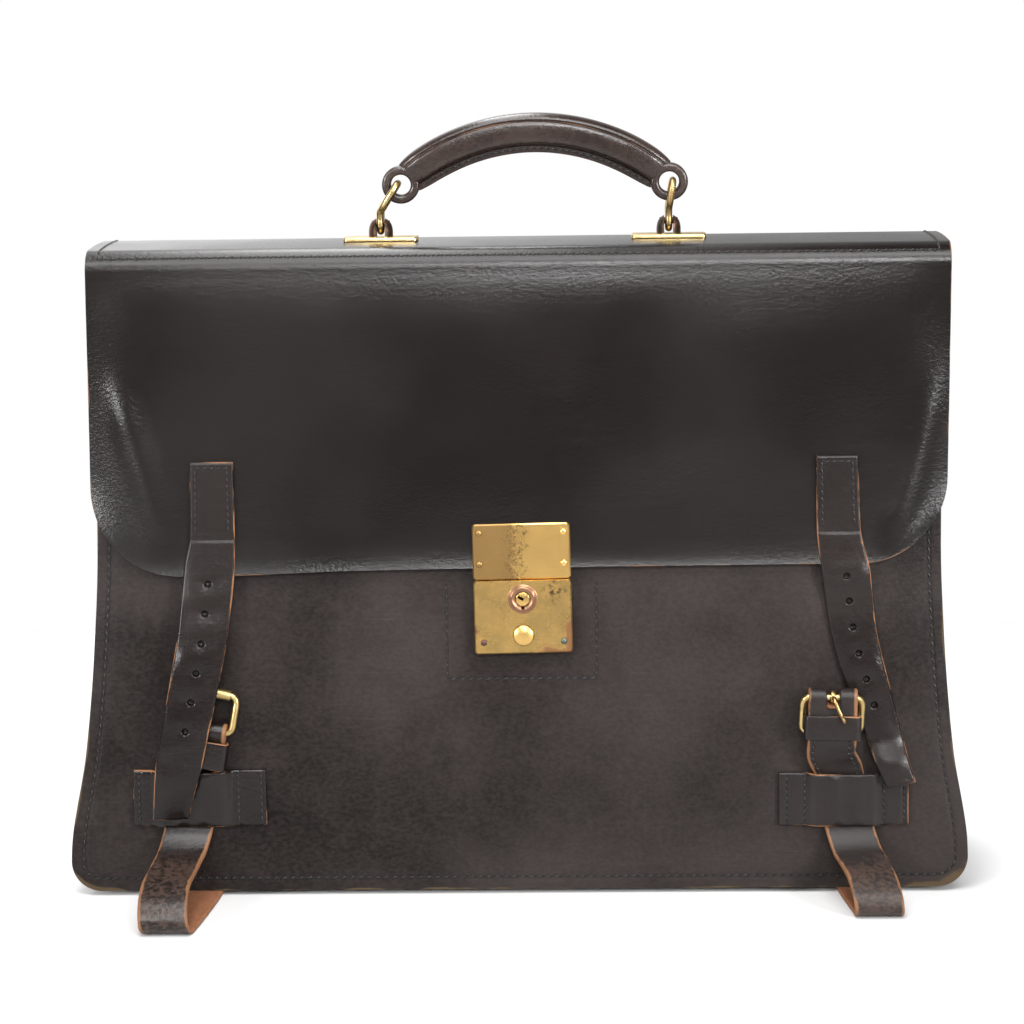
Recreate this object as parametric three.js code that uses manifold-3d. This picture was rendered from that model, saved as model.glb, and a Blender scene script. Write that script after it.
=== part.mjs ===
// A leather briefcase with a flap, a brass push lock, two buckle straps and a swinging top handle.
// Millimetres, +Z up. The front faces -Y and the origin is on the floor under the middle of the whole part.

import * as THREE from "three";
import { mergeVertices } from "three/addons/utils/BufferGeometryUtils.js";
import Module from "manifold-3d";

// Leather thicknesses, and the gap that separate pieces keep.
const GAP = 0.3;
const PANEL_T = 2.6;
const FLAP_T = 2.4;
const FLAP_GAP = 0.8;
const GUSSET_T = 2;
const STRAP_T = 2.2;
const KEEPER_T = 2;
const LOOP_T = 1.6;

// Body: a wedge, deep at the base and slim at the top, leaning a little to the right.
const BASE_DEPTH = 105;
const LOOP_REACH = 62;
const CREST_Z = 309.7;
const FRONT_LEAN = THREE.MathUtils.degToRad(4);
const BACK_LEAN = THREE.MathUtils.degToRad(3);
const SWAY = 0.01;
const STRAP_STACK = GAP + STRAP_T;
const FRONT_Y = LOOP_REACH - (LOOP_REACH + BASE_DEPTH + STRAP_STACK) / 2;
const BACK_Y = FRONT_Y + BASE_DEPTH;
const BOTTOM_Z = STRAP_T + GAP;

// Half width of the front and back panels at heights up the case.
const PANEL_EDGE = [
  { z: 0, half: 215.6 },
  { z: 22, half: 215 },
  { z: 70, half: 207.7 },
  { z: 118, half: 203.3 },
  { z: 168, half: 200.8 },
  { z: 305, half: 200 },
];
const PANEL_CORNER_R = 15;
const PANEL_TOP_Z = 292;
const FLAP_HALF = 202.8;
const FLAP_BOTTOM_Z = 155;
const FLAP_CORNER_R = 42;
const TOP_ROLL_R = 9;
const TOP_CROWN = 0.6;

// The sides of the front fall back towards the gusset, most at the height of the flap's corners.
const SIDE_FALL = 7;
const FALL_FROM_X = 165;
const FALL_TO_X = 205;
const FALL_LOW_Z = 30;
const FALL_HIGH_Z = 300;

// Gusset: a strip round the sides and base, with flanges sewn behind the panel edges.
const FLANGE_GAP = 0.8;
const FLANGE_INSET = 0.6;
const FLANGE_WIDTH = 7;
const GUSSET_BEND_R = 2.4;
const GUSSET_TOP_Z = 286;
const PLEAT_DEPTH = 15;
const PLEAT_PLACES = [0.3, 0.5, 0.7];
const PLEAT_SHARPNESS = 1.5;

// How far out the straps sewn to the flap start from the front panel.
const TAB_OUT = FLAP_GAP + FLAP_T + GAP;

// Flap straps: sections down each strap. out is the gap from the front panel to the strap's back.
const FLAP_STRAPS = {
  left: {
    firstHoleZ: 152.7,
    holePitch: 13.94,
    sections: [
      { z: 210, left: -152.4, right: -132, out: TAB_OUT, tilt: 0 },
      { z: 175.5, left: -153.2, right: -131.9, out: TAB_OUT, tilt: 0 },
      { z: 162, left: -155.9, right: -132.2, out: 4, tilt: 0 },
      { z: 129.5, left: -159.6, right: -135.8, out: 7.6, tilt: 0 },
      { z: 103, left: -164.4, right: -140.9, out: 9.4, tilt: 0 },
      { z: 81, left: -168.6, right: -146, out: 9.5, tilt: 0 },
      { z: 64, left: -171.8, right: -149.9, out: 9.4, tilt: 0 },
      { z: 52, left: -173, right: -153.6, out: 7.8, tilt: 0 },
      { z: 39.5, left: -173.9, right: -156.9, out: 5.6, tilt: 0.4 },
    ],
  },
  right: {
    firstHoleZ: 153.7,
    holePitch: 12.52,
    sections: [
      { z: 210.5, left: 142.6, right: 162.3, out: TAB_OUT, tilt: 0 },
      { z: 177, left: 143, right: 163.4, out: TAB_OUT, tilt: 0 },
      { z: 155, left: 145.3, right: 168.2, out: TAB_OUT, tilt: 0 },
      { z: 145, left: 146.7, right: 169.2, out: 1.4, tilt: 0 },
      { z: 128, left: 149.4, right: 171.2, out: GAP, tilt: 0 },
      { z: 103, left: 156.4, right: 177, out: GAP, tilt: 0 },
      { z: 76, left: 166.6, right: 183.8, out: GAP, tilt: 0.6 },
      { z: 63, left: 171.6, right: 187, out: 4, tilt: 1.6 },
      { z: 53.5, left: 176.3, right: 189.8, out: 4.6, tilt: 2.8 },
    ],
  },
};
const HOLE_COUNT = 6;
const HOLE_R = 1.4;

// Keeper patches sewn to the front panel, raised over the strap between tunnelLeft and tunnelRight.
const KEEPERS = {
  left: { left: -184, right: -120, low: 35, high: 61.8, tunnelLeft: -171, tunnelRight: -139.5 },
  right: { left: 125.1, right: 186.8, low: 33.3, high: 58.7, tunnelLeft: 141, tunnelRight: 171.5 },
};
const TUNNEL_RAMP = 4.5;
const TUNNEL_SLACK = 0.6;
const TUNNEL_RISE = 1.6;
const TUNNEL_SHOULDER = 0.72;

// Buckles: barX, barZ and barOut place the heel bar in the strap's fold. rollerAlong is the way from the
// bar to the roller, up the strap on the left and down behind it on the right.
const BUCKLE_STRAP_WIDTH = 23;
const BAR_R = 1.7;
const ROLLER_R = 2.6;
const ROLLER_BORE_R = 2.05;
const ROLLER_HALF = 10.8;
const ROLLER_OUT = GAP + ROLLER_R;
const FRAME_HALF = 13.9;
const FRAME_CORNER_R = 3.5;
const LOOP_HALF = 11.9;
const LOOP_CORNER_R = 2.2;
const LOOP_INNER_R = 0.8;
const PRONG_R = 1;
const PRONG_RING_R = 3.4;
const PRONG_BORE_R = 2;
const PRONG_WIDTH = 2.6;
const SLOT_WIDTH = 6;
const SLOT_LOW = -4.2;
const FOLD_GAP = 0.5;
const FOLD_MEET = 4;
const FOLD_WRAP = THREE.MathUtils.degToRad(25);
const BUCKLES = {
  left: {
    barX: -149.4, barZ: 82, barOut: 4.65, lean: 9.8, rollerAlong: 18,
    tailOut: 3.4, frontOut: 5.9, tailEnd: -9,
    loopLow: -18.2, loopHigh: -4.9, loopBack: GAP, loopFront: 9.05,
  },
  right: {
    barX: 150.2, barZ: 96, barOut: 8.8, lean: 1.5, rollerAlong: -17.6,
    tailOut: 8.8, frontOut: 11.3, tailEnd: -7,
    loopLow: -19.8, loopHigh: -8.2, loopBack: 8.2, loopFront: 14.4,
  },
};

// Buckle straps below the fold. run: down the panel and through the keeper, out is to the strap's middle.
// slack: the loop that lies in front of the base, reach is measured forwards from the panel's foot.
const BUCKLE_STRAPS = {
  left: {
    run: [
      { along: -9, out: 5.7 },
      { along: -14, out: 4.5 },
      { along: -19.5, out: 3.1 },
    ],
    keeper: [
      { x: -153.4, z: 58, out: 2.2 },
      { x: -155, z: 46, out: 1.7 },
      { x: -157.6, z: 33.6, out: 1.7 },
    ],
    slack: [
      { x: -160, reach: 7, z: 24.6 },
      { x: -162.3, reach: 21, z: 20.2 },
      { x: -163.6, reach: 41, z: 17.4 },
      { x: -163, reach: 55.5, z: 12 },
      { x: -162, reach: LOOP_REACH - STRAP_T / 2, z: 6 },
      { x: -161, reach: 57.6, z: 1.9 },
      { x: -159.6, reach: 50, z: 1.1 },
    ],
    footX: -154, backX: -150,
  },
  right: {
    run: [
      { along: -12, out: 11.3 },
      { along: -20.5, out: 11 },
      { along: -27.5, out: 7.8 },
    ],
    keeper: [
      { x: 153.4, z: 60, out: 3 },
      { x: 155.6, z: 46, out: 1.8 },
      { x: 158.8, z: 32, out: 1.8 },
    ],
    slack: [
      { x: 161.6, reach: 6, z: 23.4 },
      { x: 164.4, reach: 15, z: 19.4 },
      { x: 167, reach: 29, z: 15.8 },
      { x: 168.6, reach: 38.6, z: 10 },
      { x: 169.2, reach: 40.8, z: 5 },
      { x: 169.4, reach: 37.6, z: 1.8 },
      { x: 169, reach: 31, z: 1.1 },
    ],
    footX: 165, backX: 161,
  },
};
const STRAP_BACK_TOP_Z = 72;

// Handle: an arched grip with an eye at each end, hung on two bails from plates on the crest.
const GRIP_X = 11.4;
const GRIP_HALF_SPAN = 64.1;
const GRIP_RISE = 24;
const EYE_Z = 336.4;
const EYE_R = 9;
const EYE_HOLE_R = 4.8;
const EYE_T = 8;
const GRIP_SECTION = [
  { height: 9.3, half: 3.6 },
  { height: 8.2, half: 6.2 },
  { height: 5.4, half: 7.2 },
  { height: 0, half: 7.5 },
  { height: -4.4, half: 7 },
  { height: -5.9, half: 4.8 },
  { height: -6.3, half: 2.7 },
  { height: -9.3, half: 2.4 },
];
const GRIP_END = 0.96;
const GRIP_TAPER = [
  { at: 0, wide: 1, tall: 1 },
  { at: 0.6, wide: 1, tall: 1 },
  { at: 0.84, wide: 0.82, tall: 0.92 },
  { at: GRIP_END, wide: 0.55, tall: 0.66 },
];
const PLATE_XS = { left: -62.8, right: 75.2 };
const PLATE_LENGTH = 35.6;
const PLATE_WIDTH = 13;
const PLATE_T = 1.6;
const PLATE_CORNER_R = 2;
const KNOB_R = 5.8;
const KNOB_SLOT = 4.4;
const KNOB_BAR_R = 1.6;
const KNOB_BAR_RISE = 6.2;
const KNOB_PROFILE = [
  { radius: 1, rise: 0 },
  { radius: 1, rise: 2.4 },
  { radius: 0.86, rise: 6.2 },
  { radius: 0.5, rise: 8.4 },
  { radius: 0, rise: 9 },
];
const BAIL_R = 1.7;
const BAIL_TOP_HALF = 6.6;
const BAIL_TOP_RISE = 0.4;
const BAIL_SHOULDER = [
  { inset: 0, drop: 7 },
  { inset: 0, drop: 2.6 },
  { inset: 1.6, drop: 0.4 },
  { inset: 4, drop: 0 },
];
const BAIL_TOP_X = { left: -54.4, right: 77.2 };
const BAIL_LEAN_FROM = 5.8;
const BAIL_ARM = [
  { spread: 0, rise: 3 },
  { spread: 0.9, rise: 6.4 },
  { spread: 2.4, rise: 9 },
];

// Lock: a hasp plate on the flap above a lock plate on the panel.
const LOCK_X = 4;
const LOCK_ROLL = THREE.MathUtils.degToRad(-0.9);
const LOCK_MID_Z = 148.5;
const HASP = { width: 46.4, low: 4.6, high: 31, back: TAB_OUT, front: 5.8 };
const LOCK_PLATE = { width: 46.4, low: -31, high: 4.2, back: GAP, front: 5.4 };
const PLATE_BEVEL = 0.6;
const LOCK_CORNER_R = 1;
const CUT_PAST = 2;
const CYLINDER = { along: -5, r: 6.1, bore: 3.7, back: 1.4, front: 6.6 };
const PLUG = { r: 3.4, back: 1.6, front: 6.3, slotWidth: 1.2, slotDepth: 2 };
const KEY_SLOT_TURN = THREE.MathUtils.degToRad(30);
const BUTTON = { along: -22.3, r: 4.8, back: 3.2, front: 7.4, clearance: 0.25, bevel: 0.8, crown: 0.8 };
const HASP_RIVETS = [
  { across: -20, along: 26.8 },
  { across: 20, along: 26.8 },
  { across: -20, along: 12 },
  { across: 20, along: 12 },
];
const LOCK_RIVETS = { left: -19, right: 19 };
const LOCK_RIVET_ALONG = -25.5;
const RIVET_R = 1.5;
const RIVET_RISE = 0.8;
const RIVET_SHOULDER = 0.75;
const RIVET_SEAT = 0.15;

// How finely curved pieces are divided.
const FACETS = 12;
const BARREL_FACETS = 20;
const RIVET_FACETS = 10;
const HOLE_FACETS = 6;
const WIRE_FACETS = 6;
const CORNER_FACETS = 2;
const FRAME_STEPS = 32;
const BAIL_STEPS = 24;
const PRONG_STEPS = 8;
const GRIP_STEPS = 14;
const FOLD_STEPS = 7;
const CORNER_STEPS = 5;
const PANEL_STEPS = 9;
const BACK_STEPS = 6;
const ROLL_STEPS = 4;
const FLAP_STEPS = 5;
const FLAP_CORNER_STEPS = 6;
const GUSSET_STEPS = 7;
const ACROSS_STEPS = 12;

const wasm = await Module();
wasm.setup();

const FINISHES = {
  body: { color: 0x2b2422, roughness: 0.42, metalness: 0 },
  strap: { color: 0x3a2b25, roughness: 0.5, metalness: 0 },
  handle: { color: 0x33241f, roughness: 0.46, metalness: 0 },
  brass: { color: 0xb8924a, roughness: 0.32, metalness: 1 },
  lock: { color: 0xc79a4c, roughness: 0.3, metalness: 1 },
};

function finish(name) {
  return new THREE.MeshStandardMaterial(FINISHES[name]);
}

function named(name, geometry, finishName) {
  const mesh = new THREE.Mesh(geometry, finish(finishName));
  mesh.name = name;
  return mesh;
}

// Value of a table's column at a place between its rows, by a curve that never overshoots the rows.
function tableAt(rows, key, column, place) {
  const up = rows[0][key] < rows[rows.length - 1][key] ? rows : [...rows].reverse();
  const last = up.length - 1;
  const spot = THREE.MathUtils.clamp(place, up[0][key], up[last][key]);
  let i = 0;
  while (i < last - 1 && spot > up[i + 1][key]) i += 1;
  const span = (k) => up[k + 1][key] - up[k][key];
  const slope = (k) => (up[k + 1][column] - up[k][column]) / span(k);
  const tangent = (k) => {
    if (k === 0) return slope(0);
    if (k === last) return slope(last - 1);
    const before = slope(k - 1);
    const after = slope(k);
    return before * after <= 0 ? 0 : (2 * before * after) / (before + after);
  };
  const t = (spot - up[i][key]) / span(i);
  const a = up[i][column];
  const b = up[i + 1][column];
  const ma = tangent(i) * span(i);
  const mb = tangent(i + 1) * span(i);
  const t2 = t * t;
  const t3 = t2 * t;
  return a * (2 * t3 - 3 * t2 + 1) + ma * (t3 - 2 * t2 + t) + b * (3 * t2 - 2 * t3) + mb * (t3 - t2);
}

function steps(count, from, to) {
  return Array.from({ length: count + 1 }, (_, i) => from + ((to - from) * i) / count);
}

function signedVolume(positions, index) {
  const a = new THREE.Vector3();
  const b = new THREE.Vector3();
  const c = new THREE.Vector3();
  let sum = 0;
  for (let i = 0; i < index.length; i += 3) {
    a.fromArray(positions, index[i] * 3);
    b.fromArray(positions, index[i + 1] * 3);
    c.fromArray(positions, index[i + 2] * 3);
    sum += a.dot(b.cross(c)) / 6;
  }
  return sum;
}

// Geometry from points and triangles, with the faces turned outwards.
function closedGeometry(points, triangles) {
  const positions = points.flatMap((p) => [p.x, p.y, p.z]);
  let index = triangles.flat();
  if (signedVolume(positions, index) < 0) {
    index = triangles.flatMap(([i, j, k]) => [i, k, j]);
  }
  const geometry = new THREE.BufferGeometry();
  geometry.setAttribute("position", new THREE.Float32BufferAttribute(positions, 3));
  geometry.setIndex(index);
  geometry.computeVertexNormals();
  return geometry;
}

// A closed wall between two grids of points of the same size.
function wall(front, back) {
  const rows = front.length;
  const columns = front[0].length;
  const points = [...front.flat(), ...back.flat()];
  const at = (i, j) => i * columns + j;
  const under = (i, j) => rows * columns + at(i, j);
  const triangles = [];
  const quad = (a, b, c, d) => triangles.push([a, b, c], [a, c, d]);
  for (let i = 0; i < rows - 1; i += 1) {
    for (let j = 0; j < columns - 1; j += 1) {
      quad(at(i, j), at(i + 1, j), at(i + 1, j + 1), at(i, j + 1));
      quad(under(i, j), under(i, j + 1), under(i + 1, j + 1), under(i + 1, j));
    }
    quad(at(i, 0), under(i, 0), under(i + 1, 0), at(i + 1, 0));
    quad(at(i, columns - 1), at(i + 1, columns - 1), under(i + 1, columns - 1), under(i, columns - 1));
  }
  for (let j = 0; j < columns - 1; j += 1) {
    quad(at(0, j), at(0, j + 1), under(0, j + 1), under(0, j));
    quad(at(rows - 1, j), under(rows - 1, j), under(rows - 1, j + 1), at(rows - 1, j + 1));
  }
  return closedGeometry(points, triangles);
}

// A wall of even thickness about a grid of points on its middle surface.
function sheet(middle, thickness) {
  const rows = middle.length;
  const columns = middle[0].length;
  const offset = (i, j, side) => {
    const down = new THREE.Vector3().subVectors(
      middle[Math.min(i + 1, rows - 1)][j],
      middle[Math.max(i - 1, 0)][j],
    );
    const across = new THREE.Vector3().subVectors(
      middle[i][Math.min(j + 1, columns - 1)],
      middle[i][Math.max(j - 1, 0)],
    );
    const normal = down.cross(across).normalize();
    return middle[i][j].clone().addScaledVector(normal, (side * thickness) / 2);
  };
  const grid = (side) => middle.map((row, i) => row.map((_, j) => offset(i, j, side)));
  return wall(grid(1), grid(-1));
}

// A strap along a path of points: rows give the middle line and how far the strap leans from upright.
function ribbon(path, width, thickness) {
  const last = path.length - 1;
  const front = [];
  const back = [];
  path.forEach(({ point, lean }, i) => {
    const along = new THREE.Vector3().subVectors(
      path[Math.min(i + 1, last)].point,
      path[Math.max(i - 1, 0)].point,
    );
    along.normalize();
    const across = new THREE.Vector3(Math.cos(lean), 0, -Math.sin(lean));
    across.addScaledVector(along, -across.dot(along)).normalize();
    const out = new THREE.Vector3().crossVectors(along, across);
    const corner = (side, face) => {
      const at = point.clone().addScaledVector(across, (side * width) / 2);
      at.addScaledVector(out, (face * thickness) / 2);
      at.z = Math.max(at.z, 0);
      return at;
    };
    front.push([corner(-1, 1), corner(1, 1)]);
    back.push([corner(-1, -1), corner(1, -1)]);
  });
  return wall(front, back);
}

// A round wire that closes on itself along a loop of points.
function wireLoop(curve, count, radius, sides) {
  const points = [];
  const triangles = [];
  const frames = curve.computeFrenetFrames(count, true);
  for (let i = 0; i < count; i += 1) {
    const centre = curve.getPointAt(i / count);
    for (let k = 0; k < sides; k += 1) {
      const turn = (k / sides) * Math.PI * 2;
      points.push(
        centre
          .clone()
          .addScaledVector(frames.normals[i], Math.cos(turn) * radius)
          .addScaledVector(frames.binormals[i], Math.sin(turn) * radius),
      );
      const next = ((i + 1) % count) * sides;
      const side = (k + 1) % sides;
      triangles.push([i * sides + k, next + k, next + side]);
      triangles.push([i * sides + k, next + side, i * sides + side]);
    }
  }
  return closedGeometry(points, triangles);
}

// A round rod with flat ends along a smooth path.
function rod(points, radius) {
  const section = new THREE.Shape().absarc(0, 0, radius, 0, Math.PI * 2);
  const extrudePath = new THREE.CatmullRomCurve3(points);
  return new THREE.ExtrudeGeometry(section, { extrudePath, steps: PRONG_STEPS, curveSegments: WIRE_FACETS });
}

// A lathe turned about Z, from rows of radius and height.
function turned(profile, sides = FACETS) {
  const points = profile.map(([radius, height]) => new THREE.Vector2(radius, height));
  return new THREE.LatheGeometry(points, sides).rotateX(Math.PI / 2);
}

function toSolid(geometry) {
  const bare = new THREE.BufferGeometry();
  bare.setAttribute("position", geometry.getAttribute("position"));
  bare.setIndex(geometry.getIndex());
  const merged = mergeVertices(bare, 1e-3);
  const source = merged.getIndex().array;
  const triangles = [];
  for (let i = 0; i < source.length; i += 3) {
    const [a, b, c] = [source[i], source[i + 1], source[i + 2]];
    if (a !== b && b !== c && c !== a) triangles.push(a, b, c);
  }
  const mesh = new wasm.Mesh({
    numProp: 3,
    vertProperties: new Float32Array(merged.getAttribute("position").array),
    triVerts: new Uint32Array(triangles),
  });
  return new wasm.Manifold(mesh);
}

function fromSolid(solid) {
  const mesh = solid.getMesh();
  const geometry = new THREE.BufferGeometry();
  geometry.setAttribute("position", new THREE.BufferAttribute(mesh.vertProperties, 3));
  geometry.setIndex(new THREE.BufferAttribute(mesh.triVerts, 1));
  geometry.computeVertexNormals();
  return geometry;
}

function join(...geometries) {
  return fromSolid(geometries.map(toSolid).reduce((sum, solid) => sum.add(solid)));
}

function cut(geometry, ...tools) {
  return fromSolid(tools.map(toSolid).reduce((rest, tool) => rest.subtract(tool), toSolid(geometry)));
}

// Front surface of the case
function sideFall(x, z) {
  const part = THREE.MathUtils.clamp((z - FALL_LOW_Z) / (FALL_HIGH_Z - FALL_LOW_Z), 0, 1);
  const beyond = Math.max(0, Math.abs(x) - FALL_FROM_X) / (FALL_TO_X - FALL_FROM_X);
  return SIDE_FALL * Math.sin(Math.PI * part) * beyond * beyond;
}

function frontY(x, z) {
  return FRONT_Y + Math.tan(FRONT_LEAN) * z + sideFall(x - SWAY * z, z);
}

function backY(z) {
  return BACK_Y - Math.tan(BACK_LEAN) * z;
}

// A point on the front panel's face at x and z, moved out from the panel.
function onFront(x, z, out) {
  return new THREE.Vector3(x, frontY(x, z) - out, z);
}

function panelHalf(z) {
  return tableAt(PANEL_EDGE, "z", "half", z);
}

// Heights of a panel's rows: close together round the bottom corners, then evenly to the top.
function panelRows(topZ, count) {
  const corner = steps(CORNER_STEPS, 0, Math.PI / 2).map((turn) => {
    const z = BOTTOM_Z + PANEL_CORNER_R * (1 - Math.cos(turn));
    return { z, half: panelHalf(z) - PANEL_CORNER_R * (1 - Math.sin(turn)) };
  });
  const upper = steps(count, BOTTOM_Z + PANEL_CORNER_R, topZ).slice(1);
  return [...corner, ...upper.map((z) => ({ z, half: panelHalf(z) }))];
}

// Places across a row from -1 to 1, closer together near the sides, where the leather falls back.
const ACROSS = steps(ACROSS_STEPS, -Math.PI / 2, Math.PI / 2).map((turn) => Math.sin(turn));

function frontPanel() {
  const middle = panelRows(PANEL_TOP_Z, PANEL_STEPS).map(({ z, half }) =>
    ACROSS.map((u) => onFront(SWAY * z + u * half, z, -PANEL_T / 2)),
  );
  return sheet(middle, PANEL_T);
}

// The back, the top and the flap are one hide: up the back, over two rolls and down the front.
function backAndFlap() {
  const middle = [];
  const rowAt = (z, half, y) => ACROSS.map((u) => new THREE.Vector3(SWAY * z + u * half, y, z));
  panelRows(PANEL_TOP_Z, BACK_STEPS).forEach(({ z, half }) => {
    middle.push(rowAt(z, half, backY(z) - FLAP_T / 2));
  });
  const topZ = CREST_Z - FLAP_T / 2 - TOP_CROWN;
  const rollZ = topZ - TOP_ROLL_R;
  const flapOut = FLAP_GAP + FLAP_T / 2;
  const backRollY = backY(rollZ) - FLAP_T / 2 - TOP_ROLL_R * Math.cos(BACK_LEAN);
  const frontRollY = frontY(0, rollZ) - flapOut + TOP_ROLL_R * Math.cos(FRONT_LEAN);
  steps(ROLL_STEPS, BACK_LEAN, Math.PI / 2).forEach((turn) => {
    const z = rollZ + TOP_ROLL_R * Math.sin(turn);
    middle.push(rowAt(z, FLAP_HALF, backRollY + TOP_ROLL_R * Math.cos(turn)));
  });
  steps(ROLL_STEPS, -1, 1)
    .slice(1, -1)
    .forEach((part) => {
      const y = THREE.MathUtils.mapLinear(part, -1, 1, backRollY, frontRollY);
      middle.push(rowAt(topZ + TOP_CROWN * (1 - part * part), FLAP_HALF, y));
    });
  steps(ROLL_STEPS, Math.PI / 2, FRONT_LEAN).forEach((turn) => {
    const z = rollZ + TOP_ROLL_R * Math.sin(turn);
    middle.push(rowAt(z, FLAP_HALF, frontRollY - TOP_ROLL_R * Math.cos(turn)));
  });
  const flapRow = (z, half) => ACROSS.map((u) => onFront(SWAY * z + u * half, z, flapOut));
  steps(FLAP_STEPS, rollZ, FLAP_BOTTOM_Z + FLAP_CORNER_R)
    .slice(1)
    .forEach((z) => middle.push(flapRow(z, FLAP_HALF)));
  steps(FLAP_CORNER_STEPS, 0, Math.PI / 2)
    .slice(1)
    .forEach((turn) => {
      const z = FLAP_BOTTOM_Z + FLAP_CORNER_R * (1 - Math.sin(turn));
      middle.push(flapRow(z, FLAP_HALF - FLAP_CORNER_R * (1 - Math.cos(turn))));
    });
  return sheet(middle, FLAP_T);
}

// The line of the gusset round the case: points on the panels' edge, with the way in to the case.
function gussetLine() {
  const sideZ = steps(GUSSET_STEPS, GUSSET_TOP_Z, BOTTOM_Z + PANEL_CORNER_R);
  const side = sideZ.map((z) => ({ x: panelHalf(z), z, inX: -1, inZ: 0 }));
  const cornerX = panelHalf(BOTTOM_Z) - PANEL_CORNER_R;
  const corner = steps(CORNER_STEPS, 0, Math.PI / 2)
    .slice(1)
    .map((turn) => ({
      x: cornerX + PANEL_CORNER_R * Math.cos(turn),
      z: BOTTOM_Z + PANEL_CORNER_R * (1 - Math.sin(turn)),
      inX: -Math.cos(turn),
      inZ: Math.sin(turn),
    }));
  const base = [{ x: cornerX / 2, z: BOTTOM_Z, inX: 0, inZ: 1 }];
  const right = [...side, ...corner, ...base];
  const middle = { x: 0, z: BOTTOM_Z, inX: 0, inZ: 1 };
  const left = [...right].reverse().map((row) => ({ ...row, x: -row.x, inX: -row.inX }));
  return [...right, middle, ...left];
}

function gusset() {
  const frontSeat = PANEL_T + FLANGE_GAP + GUSSET_T / 2;
  const backSeat = FLAP_T + GAP + GUSSET_T / 2;
  const web = FLANGE_INSET + FLANGE_WIDTH + GUSSET_BEND_R;
  const bends = [0, Math.PI / 4, Math.PI / 2].map((turn) => ({
    depth: web - GUSSET_BEND_R * (1 - Math.sin(turn)),
    inset: GUSSET_BEND_R * (1 - Math.cos(turn)),
  }));
  const middle = gussetLine().map(({ x, z, inX, inZ }) => {
    const place = (depth) => ({ px: SWAY * z + x + inX * depth, pz: z + inZ * depth });
    const nearFront = ({ depth, inset }) => {
      const { px, pz } = place(depth);
      return new THREE.Vector3(px, frontY(px, pz) + frontSeat + inset, pz);
    };
    const nearBack = ({ depth, inset }) => {
      const { px, pz } = place(depth);
      return new THREE.Vector3(px, backY(pz) - backSeat - inset, pz);
    };
    const raised = THREE.MathUtils.smoothstep(z, BOTTOM_Z + PANEL_CORNER_R, GUSSET_TOP_Z);
    const folds = PLEAT_PLACES.map((part) => {
      const fold = PLEAT_DEPTH * raised * (1 - Math.abs(part * 2 - 1)) ** PLEAT_SHARPNESS;
      const row = { depth: web + fold, inset: 0 };
      return nearFront(row).lerp(nearBack(row), part);
    });
    const edge = { depth: FLANGE_INSET, inset: 0 };
    return [
      nearFront(edge),
      ...bends.map(nearFront),
      ...folds,
      ...[...bends].reverse().map(nearBack),
      nearBack(edge),
    ];
  });
  return sheet(middle, GUSSET_T);
}

function flapStrap({ sections, firstHoleZ, holePitch }) {
  const column = (name, z) => tableAt(sections, "z", name, z);
  const rows = sections.flatMap(({ z }, i) =>
    i + 1 < sections.length ? [z, (z + sections[i + 1].z) / 2] : [z],
  );
  const grid = (rise) =>
    rows.map((z) =>
      [0, 0.5, 1].map((part) => {
        const x = THREE.MathUtils.lerp(column("left", z), column("right", z), part);
        return onFront(x, z + (part - 0.5) * column("tilt", z), column("out", z) + rise);
      }),
    );
  const punches = steps(HOLE_COUNT - 1, 0, HOLE_COUNT - 1).map((i) => {
    const z = firstHoleZ - i * holePitch;
    const x = (column("left", z) + column("right", z)) / 2;
    const centre = onFront(x, z, column("out", z) + STRAP_T / 2);
    const punch = new THREE.CylinderGeometry(HOLE_R, HOLE_R, STRAP_T * 3, HOLE_FACETS);
    return punch.translate(centre.x, centre.y, centre.z);
  });
  return cut(wall(grid(STRAP_T), grid(0)), ...punches);
}

function keeperPatch({ left, right, low, high, tunnelLeft, tunnelRight }) {
  const xs = [
    left,
    tunnelLeft - TUNNEL_RAMP,
    tunnelLeft,
    tunnelLeft + TUNNEL_RAMP / 2,
    tunnelRight - TUNNEL_RAMP / 2,
    tunnelRight,
    tunnelRight + TUNNEL_RAMP,
    right,
  ];
  const raised = [0, 0, TUNNEL_SHOULDER, 1, 1, TUNNEL_SHOULDER, 0, 0];
  const grid = (rise) =>
    steps(3, low, high).map((z) => {
      const part = (z - low) / (high - low);
      const tunnel = STRAP_T + TUNNEL_SLACK + TUNNEL_RISE * part * part;
      return xs.map((x, j) => onFront(x, z, GAP + raised[j] * tunnel + rise));
    });
  return wall(grid(KEEPER_T), grid(0));
}

// The frame of a buckle: X across the strap, -Y out of the panel and Z along the strap, from the bar.
function buckleGroup({ barX, barZ, lean }) {
  const group = new THREE.Group();
  group.position.copy(onFront(barX, barZ, 0));
  group.rotation.set(-FRONT_LEAN, THREE.MathUtils.degToRad(lean), 0);
  group.updateMatrix();
  return group;
}

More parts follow.
